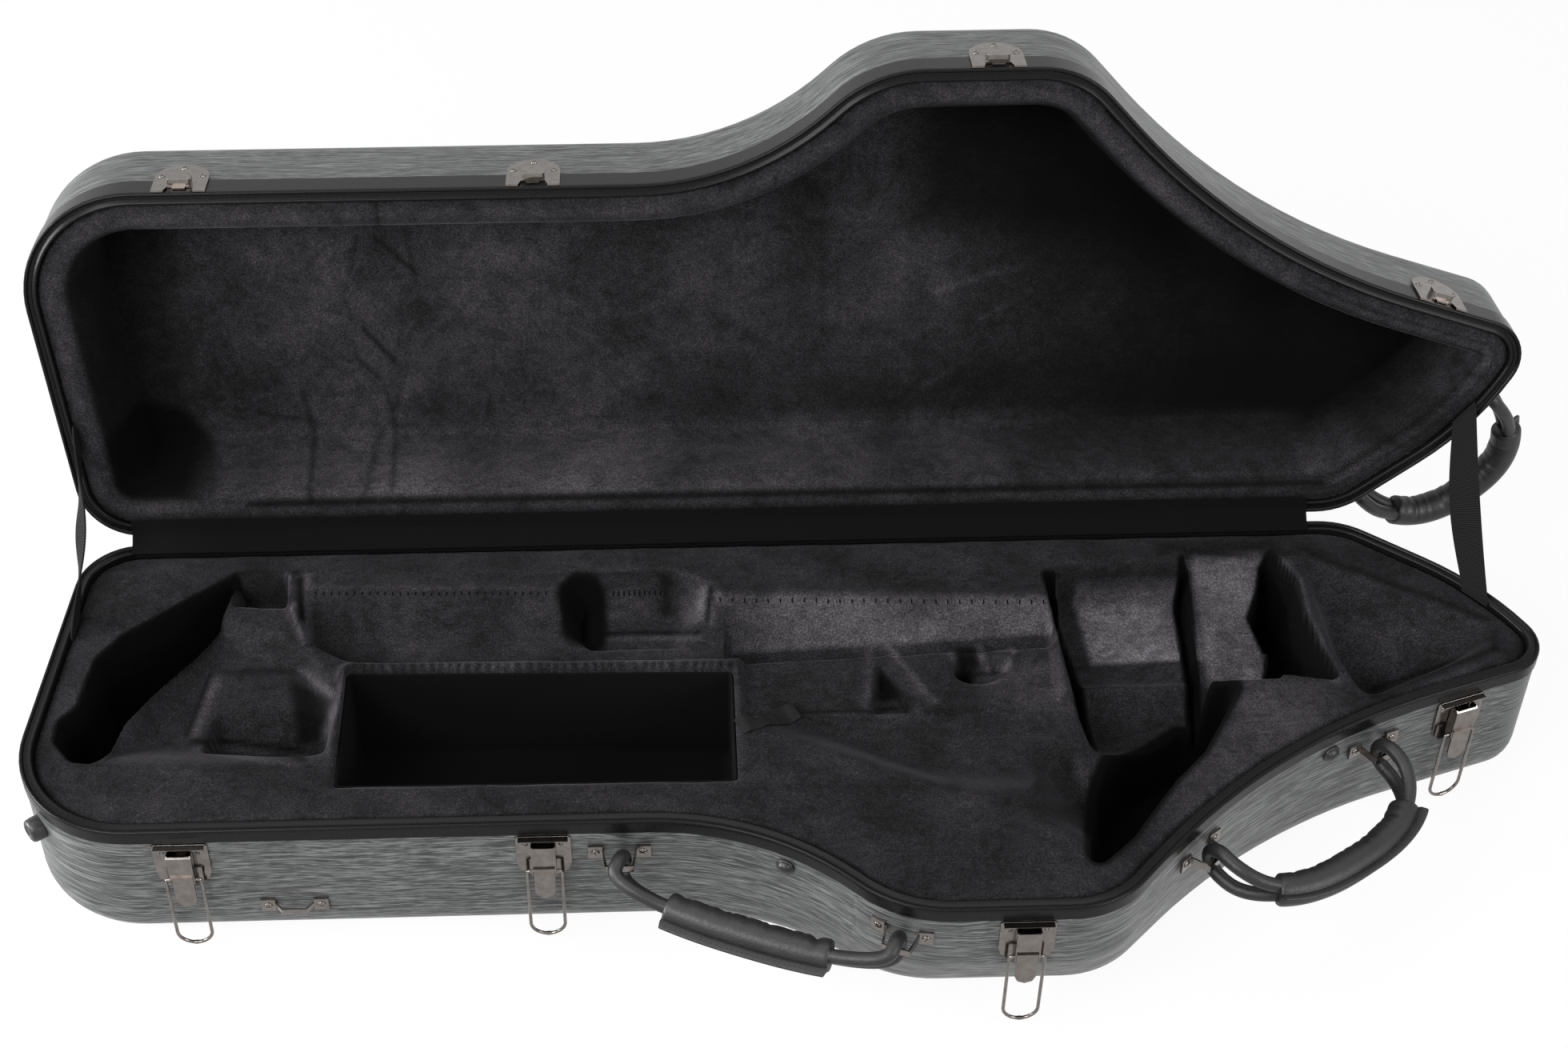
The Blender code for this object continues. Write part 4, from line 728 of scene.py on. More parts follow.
# Painted highlights and shade lines on the pile, at the same kind of places: start, end, width, factor
PAINTED_LIGHT_LINES = (
    ((0.398, 0.042), (0.412, 0.0694), 0.0030, 1.7),
    ((0.412, 0.0694), (0.412, 0.104), 0.0026, 1.6),
    ((0.412, 0.104), (0.418, 0.143), 0.0024, 1.5),
    ((-0.453, 0.150), (-0.464, 0.214), 0.0040, 2.6),
    ((-0.459, 0.150), (-0.470, 0.214), 0.0020, 0.40),
    ((-0.389, 0.147), (-0.364, 0.171), 0.0026, 3.0),
    ((-0.361, 0.186), (-0.367, 0.224), 0.0030, 2.0),
    ((-0.463, 0.219), (-0.381, 0.236), 0.0034, 0.20),
    ((-0.455, 0.148), (-0.395, 0.148), 0.0040, 0.55),
    ((-0.463, 0.227), (-0.381, 0.244), 0.0026, 1.7),
    ((-0.104, 0.052), (-0.103, 0.092), 0.0070, 0.30),
    ((-0.172, 0.116), (-0.080, 0.116), 0.0030, 0.25),
    ((-0.174, 0.123), (-0.078, 0.122), 0.0026, 2.0),
    ((-0.062, 0.068), (-0.067, 0.106), 0.0030, 2.6),
    ((-0.073, 0.066), (-0.077, 0.100), 0.0040, 2.4),
    ((-0.0675, 0.064), (-0.0715, 0.104), 0.0018, 0.25),
    ((-0.094, 0.0460), (-0.066, 0.060), 0.0026, 1.8),
    ((-0.190, 0.066), (-0.188, 0.096), 0.0024, 1.8),
    ((-0.188, 0.096), (-0.170, 0.121), 0.0024, 1.8),
    ((-0.170, 0.0415), (-0.095, 0.0425), 0.0024, 1.5),
    ((-0.176, 0.046), (-0.094, 0.047), 0.0030, 0.55),
    ((-0.446, 0.0755), (-0.408, 0.0775), 0.0014, 1.7),
    ((-0.407, 0.048), (-0.404, 0.072), 0.0030, 0.35),
    ((-0.409, 0.040), (-0.401, 0.074), 0.0026, 3.2),
    ((-0.401, 0.074), (-0.389, 0.114), 0.0028, 3.0),
    ((-0.398, 0.046), (-0.393, 0.090), 0.0034, 0.10),
    ((-0.391, 0.042), (-0.386, 0.112), 0.0030, 2.4),
    ((-0.449, 0.036), (-0.400, 0.037), 0.0026, 0.45),
    ((-0.385, 0.0545), (-0.190, 0.0605), 0.0026, 1.45),
    ((-0.060, 0.0680), (0.204, 0.0800), 0.0026, 1.35),
    ((-0.050, 0.1425), (0.202, 0.1275), 0.0018, 0.50),
    ((0.071, 0.137), (0.102, 0.195), 0.0030, 3.2),
    ((0.056, 0.140), (0.050, 0.196), 0.0034, 1.8),
    ((0.143, 0.138), (0.146, 0.162), 0.0026, 3.0),
    ((0.120, 0.146), (0.128, 0.166), 0.0030, 2.0),
    ((0.152, 0.134), (0.170, 0.144), 0.0024, 1.9),
    ((0.170, 0.144), (0.160, 0.164), 0.0024, 1.9),
    ((0.128, 0.168), (0.160, 0.168), 0.0030, 0.45),
    ((0.000, 0.203), (0.085, 0.2035), 0.0018, 0.40),
    ((0.000, 0.207), (0.090, 0.2075), 0.0018, 1.35),
    ((0.220, 0.051), (0.316, 0.050), 0.0030, 0.35),
    ((0.388, 0.040), (0.374, 0.084), 0.0040, 0.50),
    ((0.401, 0.050), (0.405, 0.110), 0.0044, 2.2),
    ((0.405, 0.110), (0.420, 0.180), 0.0044, 2.0),
    ((0.398, 0.040), (0.424, 0.036), 0.0040, 0.60),
    ((0.426, 0.041), (0.554, 0.118), 0.0042, 0.38),
    ((0.426, 0.050), (0.548, 0.124), 0.0024, 1.25),
    ((0.557, 0.132), (0.553, 0.151), 0.0030, 0.55),
    ((0.553, 0.151), (0.445, 0.199), 0.0034, 0.35),
    ((0.556, 0.159), (0.448, 0.207), 0.0034, 1.5),
    ((-0.040, 0.276), (0.110, 0.282), 0.0070, 0.70),
    ((0.110, 0.282), (0.200, 0.318), 0.0080, 0.72),
    ((0.206, 0.262), (0.214, 0.322), 0.0036, 1.6),
    ((0.196, 0.256), (0.203, 0.314), 0.0040, 0.60),
    ((0.352, 0.176), (0.283, 0.274), 0.0030, 1.35),
    ((-0.300, 0.246), (-0.456, 0.246), 0.0022, 0.80),
    ((-0.352, 0.150), (-0.356, 0.230), 0.0040, 1.35),
)
# Painted light and shade on the lid's pile along the case
LID_PAINTED_LIGHT_X = (-0.600, -0.545, -0.505, -0.470, -0.300, -0.100, 0.020, 0.100, 0.200, 0.290, 0.380, 0.600)
LID_PAINTED_LIGHT = (0.60, 0.14, 0.30, 1.02, 1.18, 0.94, 0.76, 0.84, 0.44, 0.16, 0.06, 0.05)
# Finger strokes on the lid's pile: start, end, factor
LID_STROKES = (
    ((-0.330, 0.230), (-0.300, 0.200), 0.62), ((-0.352, 0.205), (-0.345, 0.232), 0.70),
    ((-0.300, 0.190), (-0.306, 0.236), 0.72), ((-0.345, 0.150), (-0.322, 0.120), 0.55),
    ((-0.352, 0.122), (-0.336, 0.104), 0.65), ((-0.400, 0.090), (-0.390, 0.030), 0.66),
    ((-0.330, 0.090), (-0.325, 0.040), 0.66), ((-0.352, 0.028), (-0.338, 0.052), 0.70),
    ((-0.312, 0.118), (-0.326, 0.072), 0.74), ((-0.440, 0.072), (-0.392, 0.064), 0.74),
    ((-0.250, 0.060), (-0.246, 0.085), 0.70), ((0.120, 0.176), (0.190, 0.196), 1.45),
    ((0.160, 0.150), (0.200, 0.176), 1.40), ((0.112, 0.085), (0.150, 0.110), 1.35),
    ((-0.300, 0.140), (-0.250, 0.190), 1.18), ((-0.480, 0.120), (-0.470, 0.160), 1.30),
    ((-0.260, 0.165), (-0.240, 0.186), 1.25), ((-0.470, 0.080), (-0.455, 0.084), 1.3),
)
LID_STROKE_WIDTH = 0.0028
FIELD_STEP = 0.002
DISH_BLEND = 0.12
WOBBLE_WAVES = 7
ROLL = 0.0040
# How far forward the camera sees a spot for each metre below the top, and how far out from its own x
SLANT = 1.03
SIDE_SLANT = 0.65
CAMERA_X = -0.10
GATHER_WAVE = 0.0075
GATHER_INSET = 0.0035
GATHER_REACH = 0.0045
COMPARTMENT = ((-0.3000, 0.370), (-0.3010, 0.664), (-0.0440, 0.672), (-0.0440, 0.388))
COMPARTMENT_DEPTH = 0.0950
LINER_WALL = 0.0020
LINING_GAP = 0.0010
LIP_DROP = 0.0030
PLUSH_INSET = RIM_WIDTH + GAP
POCKET_RADIUS = 0.0050
SKIRT_TONE_AND_PAINTED_LIGHT = 0.4


def compartment_ring(inset, z):
    places = [(x * LENGTH, -forward * WIDTH) for x, forward in COMPARTMENT]
    return [Vector((p.x, p.y, z)) for p in rounded(places, [POCKET_RADIUS] * 4, inset, [6] * 4)]


def kidney(spots):
    """The shallow dent with a hole at its left and a raised oval at its right: depth, and the hole's painted
    shade.
    """
    shallow = 0.010 * eased(1.6 * (1 - oval(spots, 0.143, 0.149, 0.028, 0.021)))
    hole = eased(1.8 * (1 - oval(spots, 0.131, 0.148, 0.010, 0.014)))
    raised = np.exp(-((oval(spots, 0.160, 0.146, 0.010, 0.012) - 0.8) / 0.22) ** 2)
    return shallow + 0.016 * hole - 0.0035 * raised, hole


def base_depth(spots):
    """How far the plush lies below its top, and its tone with painted light and shade."""
    x, y = spots.T
    deep = np.zeros(len(spots))
    dark = np.zeros(len(spots))
    for row in DISHES:
        deep = np.maximum(deep, dish(spots, *row))
    for row in WELLS.values():
        lower, share = well(spots, *row)
        deep = np.maximum(deep, lower)
        dark = np.maximum(dark, share)
    dent, hole = kidney(spots)
    deep = deep + dent
    # The kidney's hole is painted shade too
    dark = np.maximum(dark, hole)
    for start, end, width, height in RIDGES:
        deep -= height * ridge(spots, start, end, width)

    edge = signed_distance(spots, compartment_ring(0.0, 0.0))[0]
    behind = (y > -0.160) & (x < -0.045)
    gathers = np.sin(x * math.tau / GATHER_WAVE + 2.2 * wobble(spots, 0.05, 5))
    band = behind * np.exp(-((edge - GATHER_INSET) / GATHER_REACH) ** 2)
    deep -= band * (0.0026 + 0.0014 * gathers)
    deep += 0.0020 * eased(1 - edge / 0.004)

    seen = spots - np.stack([SIDE_SLANT * (x - CAMERA_X) * deep, SLANT * deep], axis=1)
    # Random tone, with painted light and shade on the gathers' folds
    tone_and_painted_light = (0.68 + 0.10 * wobble(spots, 0.09, 2)) * (1 + 0.35 * band * gathers)
    # Painted light and shade in patches and lines, at the places where the camera sees them
    for corners, soft, factor, least in PAINTED_LIGHT_PATCHES:
        tone_and_painted_light *= 1 + (factor - 1) * patch(seen, corners, soft) * eased((deep - least) / 0.004)
    for start, end, width, factor in PAINTED_LIGHT_LINES:
        tone_and_painted_light *= 1 + (factor - 1) * ridge(seen, start, end, width)
    # Painted shade: near black in the wells, and darker the deeper the plush lies
    return deep, tone_and_painted_light * (1 - 0.985 * dark) * (1 - 0.9 * eased((deep - 0.054) / 0.04))


def lid_depth(spots, inward):
    """How far the lid's lining lies behind its lip, and its tone with painted light and shade."""
    x, forward = spots[:, 0], -spots[:, 1]
    lip = 0.0022 * eased(1 - inward / 0.006) + 0.0035 * eased((inward - 0.010) / 0.013)
    fall = eased((inward - 0.0215) / 0.016)
    floor = 0.0790 - 0.0045 * eased((inward - 0.036) / 0.10)
    block = patch(spots, ((0.026, 0.150), (0.026, 0.330), (0.092, 0.330), (0.092, 0.150)), 0.016)
    crease = ridge(spots, (-0.318, 0.262), (-0.318, 0.300), 0.0016)
    deep = lip + fall * (floor - 0.0035 + 0.0010 * wobble(spots, 0.10, 8))
    deep += 0.0016 * block - 0.0012 * ridge(spots, (0.026, 0.150), (0.026, 0.300), 0.004) + 0.0012 * crease

    # Painted shade over the bell's end and the left corner, and painted light on the block
    bell = patch(spots, ((0.094, 0.235), (0.094, 0.420), (0.320, 0.400), (0.340, 0.190), (0.210, 0.215)),
                 0.07)
    corner = patch(spots, ((-0.560, 0.010), (-0.548, 0.090), (-0.500, 0.078), (-0.470, 0.040),
                           (-0.500, 0.010)), 0.014)
    uneven = 1.0 + 0.16 * wobble(spots, 0.12, 3) + 0.08 * wobble(spots, 0.05, 4)
    tone_and_painted_light = np.interp(x, LID_PAINTED_LIGHT_X, LID_PAINTED_LIGHT) * uneven
    tone_and_painted_light *= (1 + 0.35 * block) * (1 - 0.85 * bell) * (1 - 0.92 * corner)

    # A painted highlight on the bank at the right, and a painted shade line along the lip there
    right = patch(spots, ((0.42, 0.02), (0.600, 0.02), (0.600, 0.22), (0.400, 0.22)), 0.03)
    bank = eased((inward - 0.020) / 0.004) * (1 - eased((inward - 0.022) / 0.018))
    tone_and_painted_light = np.maximum(tone_and_painted_light, 0.95 * bank * right)
    # The rolled lip painted lighter on its crown and darker towards the hinge
    on_lip = 1 - eased((inward - 0.017) / 0.006)
    rolled = 0.80 + 0.35 * eased(1 - np.abs(inward - 0.013) / 0.009) - 0.35 * eased(1 - forward / 0.045)
    tone_and_painted_light = tone_and_painted_light * (1 - on_lip) + on_lip * rolled
    tone_and_painted_light *= 1 - 0.5 * np.exp(-((inward - 0.011) / 0.0016) ** 2) * right

    # Painted shade above the hinge, painted light beside it, and a painted shade line along it
    above_hinge = eased((forward - 0.056) / 0.012) * (1 - eased((forward - 0.085) / 0.05))
    tone_and_painted_light *= 1 - 0.45 * above_hinge * eased((x + 0.15) / 0.20)
    beside_hinge = (1 - eased((forward - 0.020) / 0.050)) * (1 - on_lip)
    beside_hinge *= eased((x + 0.50) / 0.03) * eased((0.47 - x) / 0.05)
    tone_and_painted_light = np.maximum(tone_and_painted_light, 0.75 * beside_hinge) * (1 + 0.8 * beside_hinge)
    tone_and_painted_light *= 1 - 0.85 * ridge(spots, (-0.44, 0.030), (0.44, 0.030), 0.0034)
    for start, end, factor in LID_STROKES:
        tone_and_painted_light *= 1 + 1.5 * (factor - 1) * ridge(spots, start, end, LID_STROKE_WIDTH)
    # Painted shade in the crease
    return deep, tone_and_painted_light * (1 - 0.55 * crease)


def field_mesh(name, loops, depth_at, up, top, hole=None):
    """A closed body: a height field inside the first loop, then a skirt down through the others.

    The loops are rings of one outline, at their own heights. A hole is two rings, at its mouth and floor."""
    edge_loop = flat(loops[0])
    low, high = edge_loop.min(axis=0) - FIELD_STEP, edge_loop.max(axis=0) + FIELD_STEP
    xs = np.arange(low[0], high[0] + FIELD_STEP, FIELD_STEP)
    ys = np.arange(low[1], high[1] + FIELD_STEP, FIELD_STEP)
    grid = np.stack(np.meshgrid(xs, ys), axis=-1)
    spots = grid.reshape(-1, 2).copy()
    cuts = [loops, hole] if hole else [loops]
    found = [signed_distance(spots, rings[0]) for rings in cuts]
    distances = [found[0][0]] + [-one[0] for one in found[1:]]
    reach = np.maximum.reduce(distances)
    owner = np.argmax(distances, axis=0)

    def beside_spots(picked, index, loop):
        """The nearest points on a ring of one cut to the picked spots."""
        _, side, share = found[index]
        start, end = loop[side[picked]], loop[(side[picked] + 1) % len(loop)]
        return start + (end - start) * share[picked][:, None]

    on_edge = np.abs(reach) <= FIELD_STEP * 0.5
    for index, rings in enumerate(cuts):
        picked = np.where(on_edge & (owner == index))[0]
        spots[picked] = beside_spots(picked, index, flat(rings[0]))
    deep, tone_and_painted_light = depth_at(spots)
    rows, columns = grid.shape[:2]
    raw = deep.reshape(rows, columns)
    beside = raw[:-2, 1:-1] + raw[2:, 1:-1] + raw[1:-1, :-2] + raw[1:-1, 2:]
    heights = raw.copy()
    heights[1:-1, 1:-1] = (raw[1:-1, 1:-1] * 4 + beside) / 8
    keep = (reach <= FIELD_STEP * 0.5).reshape(rows, columns)
    numbers = np.arange(rows * columns).reshape(rows, columns)
    whole = keep[:-1, :-1] & keep[1:, :-1] & keep[:-1, 1:] & keep[1:, 1:]
    quads = np.stack([numbers[:-1, :-1], numbers[:-1, 1:], numbers[1:, 1:], numbers[1:, :-1]], axis=-1)[whole]
    ways = np.concatenate([quads[:, [0, 1]], quads[:, [1, 2]], quads[:, [2, 3]], quads[:, [3, 0]]])
    _, first, times = np.unique(np.sort(ways, axis=1), axis=0, return_index=True, return_counts=True)
    border = ways[first[times == 1]]

    points = [np.column_stack([spots, up * (top + heights.ravel())])]
    tones_and_painted_light = [tone_and_painted_light]
    faces = [quads]
    total = len(spots)
    for index, rings in enumerate(cuts):
        edges = border[owner[border[:, 0]] == index]
        used = np.unique(edges)
        order = np.full(len(spots), -1)
        order[used] = np.arange(len(used))
        above = used
        for lower in rings[1:]:
            points.append(beside_spots(used, index, np.array(lower)))
            tones_and_painted_light.append(np.full(len(used), SKIRT_TONE_AND_PAINTED_LIGHT))
            below = total + np.arange(len(used))
            total += len(used)
            a, b = order[edges[:, 0]], order[edges[:, 1]]
            faces.append(np.stack([above[b], above[a], below[a], below[b]], axis=-1))
            above = below
    mesh = bpy.data.meshes.new(name)
    mesh.from_pydata(np.concatenate(points), [], np.concatenate(faces).tolist())
    # Each point's tone with painted light and shade, for the plush material
    values = mesh.attributes.new("tone_and_painted_light", "FLOAT", "POINT").data
    values.foreach_set("value", np.concatenate(tones_and_painted_light).astype(np.float32))
    shape = bmesh.new()
    shape.from_mesh(mesh)
    bmesh.ops.delete(shape, geom=[vert for vert in shape.verts if not vert.link_faces], context="VERTS")
    bmesh.ops.dissolve_degenerate(shape, dist=1e-5, edges=shape.edges)
    bmesh.ops.holes_fill(shape, edges=[edge for edge in shape.edges if edge.is_boundary], sides=0)
    bmesh.ops.recalc_face_normals(shape, faces=shape.faces)
    shape.to_mesh(mesh)
    shape.free()
    mesh.shade_smooth()
    return new_object(name, mesh, "plush")


def skirt(half, rim_height, drop):
    """Rings from the plush's edge under the rim, out beside the shell and on to the floor."""
    height, straight, sink, up = half
    beside = SHELL_WALL + LINING_GAP
    under_rim = up * (rim_height + LINING_GAP)
    rings = [ring(PLUSH_INSET, up * drop), ring(PLUSH_INSET, under_rim), ring(beside, under_rim)]
    return rings + wall_rings(height, straight, beside, sink, up)


def base_field(spots):
    """The base's plush, rolled over where it meets the rim, and darker beside it as painted shade."""
    edge = -signed_distance(spots, ring(PLUSH_INSET, 0.0))[0]
    deep, tone_and_painted_light = base_depth(spots)
    roll = 0.0030 * (1 - eased(edge / ROLL)) - 0.0010 * eased(edge / 0.03)
    deep = deep + roll + 0.00035 * wobble(spots, 0.06, 1)
    return deep, tone_and_painted_light * (0.55 + 0.45 * eased(edge / 0.005))


def lid_field(spots):
    return lid_depth(spots, -signed_distance(spots, ring(PLUSH_INSET, 0.0))[0])


def cushions():
    floor = -INSERT_DROP - COMPARTMENT_DEPTH - LINER_WALL - GAP
    hole = [compartment_ring(0.0, 0.0), compartment_ring(0.0, floor)]
    edge = skirt(BASE_HALF, BASE_RIM_HEIGHT, INSERT_DROP)
    base = field_mesh("plush_base", edge, base_field, -1, INSERT_DROP, hole)
    settle(base, SEAM, "base", ["base_insert"])
    edge = skirt(LID_HALF, LID_RIM_HEIGHT, LIP_DROP)
    lid = field_mesh("plush_lid", edge, lid_field, 1, LIP_DROP)
    settle(lid, LID, "lid", ["lid_lining"])


def liner():
    """The compartment's black lining, darker than the plush as painted shade of its depth: a box with rounded
    edges and a floor that curves up at its walls.
    """
    top, floor = -INSERT_DROP - 0.0012, -INSERT_DROP - COMPARTMENT_DEPTH
    inner = GAP + LINER_WALL
    steps = [(GAP, floor - LINER_WALL), (GAP, top - 0.001), (GAP + 0.0005, top - 0.0002), (GAP + 0.0010, top),
             (GAP + 0.0016, top - 0.0003), (inner, top - 0.0012), (inner, floor + 0.008),
             (inner + 0.001, floor + 0.004), (inner + 0.004, floor + 0.001), (inner + 0.008, floor)]
    rings = [compartment_ring(inset, z) for inset, z in steps]
    made = loft("compartment_lining", rings, "black_cloth", sharp=60)
    settle(made, SEAM, "base", ["compartment_liner"])


# Small repeated details

def pills(name, places, look):
    """Small rounded bars in one mesh; each place is its centre, its axes and its three half sizes."""
    template = bmesh.new()
    bmesh.ops.create_uvsphere(template, u_segments=8, v_segments=5, radius=1.0)
    points = np.array([vert.co for vert in template.verts])
    sides = [[vert.index for vert in face.verts] for face in template.faces]
    template.free()
    drawn, faces = [], []
    for centre, along, up, sizes in places:
        along = Vector(along).normalized()
        across = Vector(up).cross(along).normalized()
        axes = np.array([along, across, along.cross(across)])
        faces += [[index + len(drawn) * len(points) for index in side] for side in sides]
        drawn.append((points * np.array(sizes)) @ axes + np.array(centre))
    mesh = bpy.data.meshes.new(name)
    mesh.from_pydata(np.concatenate(drawn), [], faces)
    mesh.shade_smooth()
    return new_object(name, mesh, look)


def turned(profile, matrix):
    """Points and faces of a profile of (radius, out) turned about -Y of a frame."""
    points, faces = [], []
    for radius, out in profile:
        for index in range(TURNED_SIDES):
            angle = math.tau * index / TURNED_SIDES
            points.append(matrix @ Vector((radius * math.cos(angle), -out, radius * math.sin(angle))))
    for level in range(len(profile) - 1):
        low, high = level * TURNED_SIDES, (level + 1) * TURNED_SIDES
        for index in range(TURNED_SIDES):
            following = (index + 1) % TURNED_SIDES
            faces.append((low + index, low + following, high + following, high + index))
    faces.append(tuple(range(TURNED_SIDES))[::-1])
    faces.append(tuple(range(len(points) - TURNED_SIDES, len(points))))
    return points, faces


def turned_group(name, items, look):
    """Several turned shapes in one object; each item is a profile and a frame."""
    points, faces = [], []
    for profile, matrix in items:
        spots, sides = turned(profile, matrix)
        faces += [[index + len(points) for index in side] for side in sides]
        points += spots
    mesh = bpy.data.meshes.new(name)
    mesh.from_pydata(points, [], faces)
    turn_faces_out(mesh)
    smooth_but(mesh, 40)
    return new_object(name, mesh, look)


def dome(radius, height):
    """A rivet's profile: a short wall, then a rounded head."""
    wall = height * 0.3
    made = [(radius, 0.0), (radius, wall)]
    for step in range(1, DOME_STEPS + 1):
        angle = math.pi / 2 * step / DOME_STEPS
        made.append((radius * math.cos(angle) * 0.97 + TIP_RADIUS, wall + (height - wall) * math.sin(angle)))
    return made


# Handles

ARCH_DROP = 0.0340
ARCH_OUT = 0.0180
ARCH_BAR = 0.0015
ARCH_HEIGHT = 0.0065
EAR_OFFSET = 0.0180
EAR_THICKNESS = 0.0019
RIVET_RADIUS = 0.0030
RIVET_HEIGHT = 0.0012
ROPE_RADIUS = 0.0055
ROPE_SIDES = 18
EYE_STEPS = 46
EYE_LENGTH = 0.0560
EYE_HALF_WIDTH = 0.0125
EYE_NECK = 0.0058
EYE_TURN_SHARE = 0.22
EYE_NARROWING_SHARE = 0.35
EYE_CROWDING_SHARE = 0.7407
GRIP_RADIUS = 0.0125
GRIP_SIDES = 30
GRIP_STEPS = 96
FIN_REACH = 0.0070
FIN_THICKNESS = 0.0026
FIN_ROUNDING = 0.0006
FIN_TURN_DEGREES = 35.0
HANDLE_POWER_SHARE = 0.8333
PATH_STEPS = 240
STITCH_STEP = 0.0036
STITCH_INSET = 0.0030
STITCH_SIZES = (0.0012, 0.00035, 0.00035)
CREASE_COUNT = 26
# Name, the brackets' places along the case, height, whether at the back, bow, droop in degrees, half
HANDLES = (
    ("front", (-0.1203, 0.0546), -ARCH_DROP, False, 0.0200, 35.0, SEAM),
    ("side", (0.2481, 0.3774), -ARCH_DROP, False, 0.0580, 8.0, SEAM),
    ("rear", (0.4000, 0.4800), 0.0440, True, 0.0820, -15.0, LID),
)


def handle_path(chord, bow):
    """The handle's middle line, bowed out between its two brackets."""
    points = []
    for step in range(PATH_STEPS + 1):
        angle = math.pi * (1 - step / PATH_STEPS)
        across = math.copysign(abs(math.cos(angle)) ** HANDLE_POWER_SHARE, math.cos(angle))
        out = abs(math.sin(angle)) ** HANDLE_POWER_SHARE
        points.append(Vector((chord / 2 * (1 + across), bow * out, 0)))
    return points


def at_length(points, length):
    """The point this far along a path, or straight before its start."""
    if length < 0:
        return points[0] + Vector((0, length, 0))
    for start, end in zip(points, points[1:]):
        step = (end - start).length
        if length <= step:
            return start.lerp(end, length / step)
        length -= step
    return points[-1].copy()


def eye_width(share):
    """Half the opening of a rope's eye, at a share of its length."""
    if share >= 1:
        return 0.0
    turn = min(share / EYE_TURN_SHARE, 1.0)
    opened = math.sqrt(1 - (1 - turn) ** 2) * EYE_HALF_WIDTH
    narrowed = max(share - EYE_NARROWING_SHARE, 0.0) / (1 - EYE_NARROWING_SHARE)
    return opened + (EYE_NECK - EYE_HALF_WIDTH) * narrowed ** 2 * (3 - 2 * narrowed)


def tube_rings(points, radius, sides, closed):
    """Rings round a path, turned as little as can be from one to the next."""
    count = len(points)
    rings, side = [], None
    for index, point in enumerate(points):
        before = points[index - 1] if closed or index else point
        after = points[(index + 1) % count] if closed or index < count - 1 else point
        along = (after - before).normalized()
        if side is None:
            side = along.orthogonal().normalized()
        side = (side - along * side.dot(along)).normalized()
        across = along.cross(side)
        size = radius(index / max(count - 1, 1)) if callable(radius) else radius
        turns = [math.tau * k / sides for k in range(sides)]
        rings.append([point + (side * math.cos(turn) + across * math.sin(turn)) * size for turn in turns])
    return rings


def eye(path):
    """The rope's loop round a bracket's bar, and back to the grip."""
    reach = math.hypot(ARCH_BAR, ARCH_HEIGHT) / 2
    turn = reach + CURVED_GAP + ROPE_RADIUS
    crowd = math.pi * EYE_CROWDING_SHARE
    upper = []
    for step in range(EYE_STEPS + 1):
        share = (1 - math.cos(crowd * step / EYE_STEPS)) / (1 - math.cos(crowd))
        upper.append(at_length(path, share * (EYE_LENGTH + turn) - turn) + Vector((0, 0, eye_width(share))))
    lower = [Vector((point.x, point.y, -point.z)) for point in upper[-2:0:-1]]
    return tube_rings(upper + lower, ROPE_RADIUS, ROPE_SIDES, True)


def grip(path, total, seed):
    """The padded sleeve: square ends, creases on its inner side and the sewn fin outside."""
    draw = random.Random(seed)
    start = EYE_LENGTH - ROPE_RADIUS
    length = total - 2 * start
    creases = [(draw.uniform(0.06, 0.94), draw.uniform(0.0012, 0.0026), draw.uniform(0.0003, 0.0009))
               for _ in range(CREASE_COUNT)]
    fin = FIN_THICKNESS / 2
    root = math.sqrt(GRIP_RADIUS ** 2 - fin ** 2)
    rings, stitches = [], []
    since = 0.0
    for step in range(GRIP_STEPS + 1):
        place = length * step / GRIP_STEPS
        centre = at_length(path, start + place)
        along = (at_length(path, start + place + 0.002) - at_length(path, start + place - 0.002)).normalized()
        outward = Vector((-along.y, along.x, 0))
        turn = Matrix.Rotation(math.radians(FIN_TURN_DEGREES), 3, along)
        from_end = min(place, length - place)
        swell = -0.0012 * math.exp(-(from_end / 0.0010) ** 2) + 0.0006 * math.sin(math.pi * place / length)
        folds = sum(size * math.exp(-((place - at * length) / wide) ** 2) for at, wide, size in creases)
        ring_points = []
        for k in range(GRIP_SIDES):
            angle = math.tau * (k + 0.5) / GRIP_SIDES
            inner = max(0.0, -math.cos(angle + 0.5)) ** 0.7
            radius = GRIP_RADIUS + swell - folds * inner
            ring_points.append((radius * math.cos(angle), radius * math.sin(angle)))
        share = eased(np.array((from_end + 0.0012) / 0.0024)).item()
        tip = GRIP_RADIUS + swell + FIN_REACH * share
        section = [(tip - FIN_ROUNDING, -fin), (tip, -fin * 0.5), (tip, fin * 0.5), (tip - FIN_ROUNDING, fin),
                   (root + swell, fin)] + ring_points + [(root + swell, -fin)]
        rings.append([centre + turn @ (outward * out + Vector((0, 0, up))) for out, up in section])
        since += length / GRIP_STEPS
        if since > STITCH_STEP and from_end > 0.004:
            since = 0.0
            for sense in (1, -1):
                spot = centre + turn @ (outward * (tip - STITCH_INSET) + Vector((0, 0, sense * fin)))
                stitches.append((spot, along, turn @ Vector((0, 0, sense)), STITCH_SIZES))
    return rings, stitches


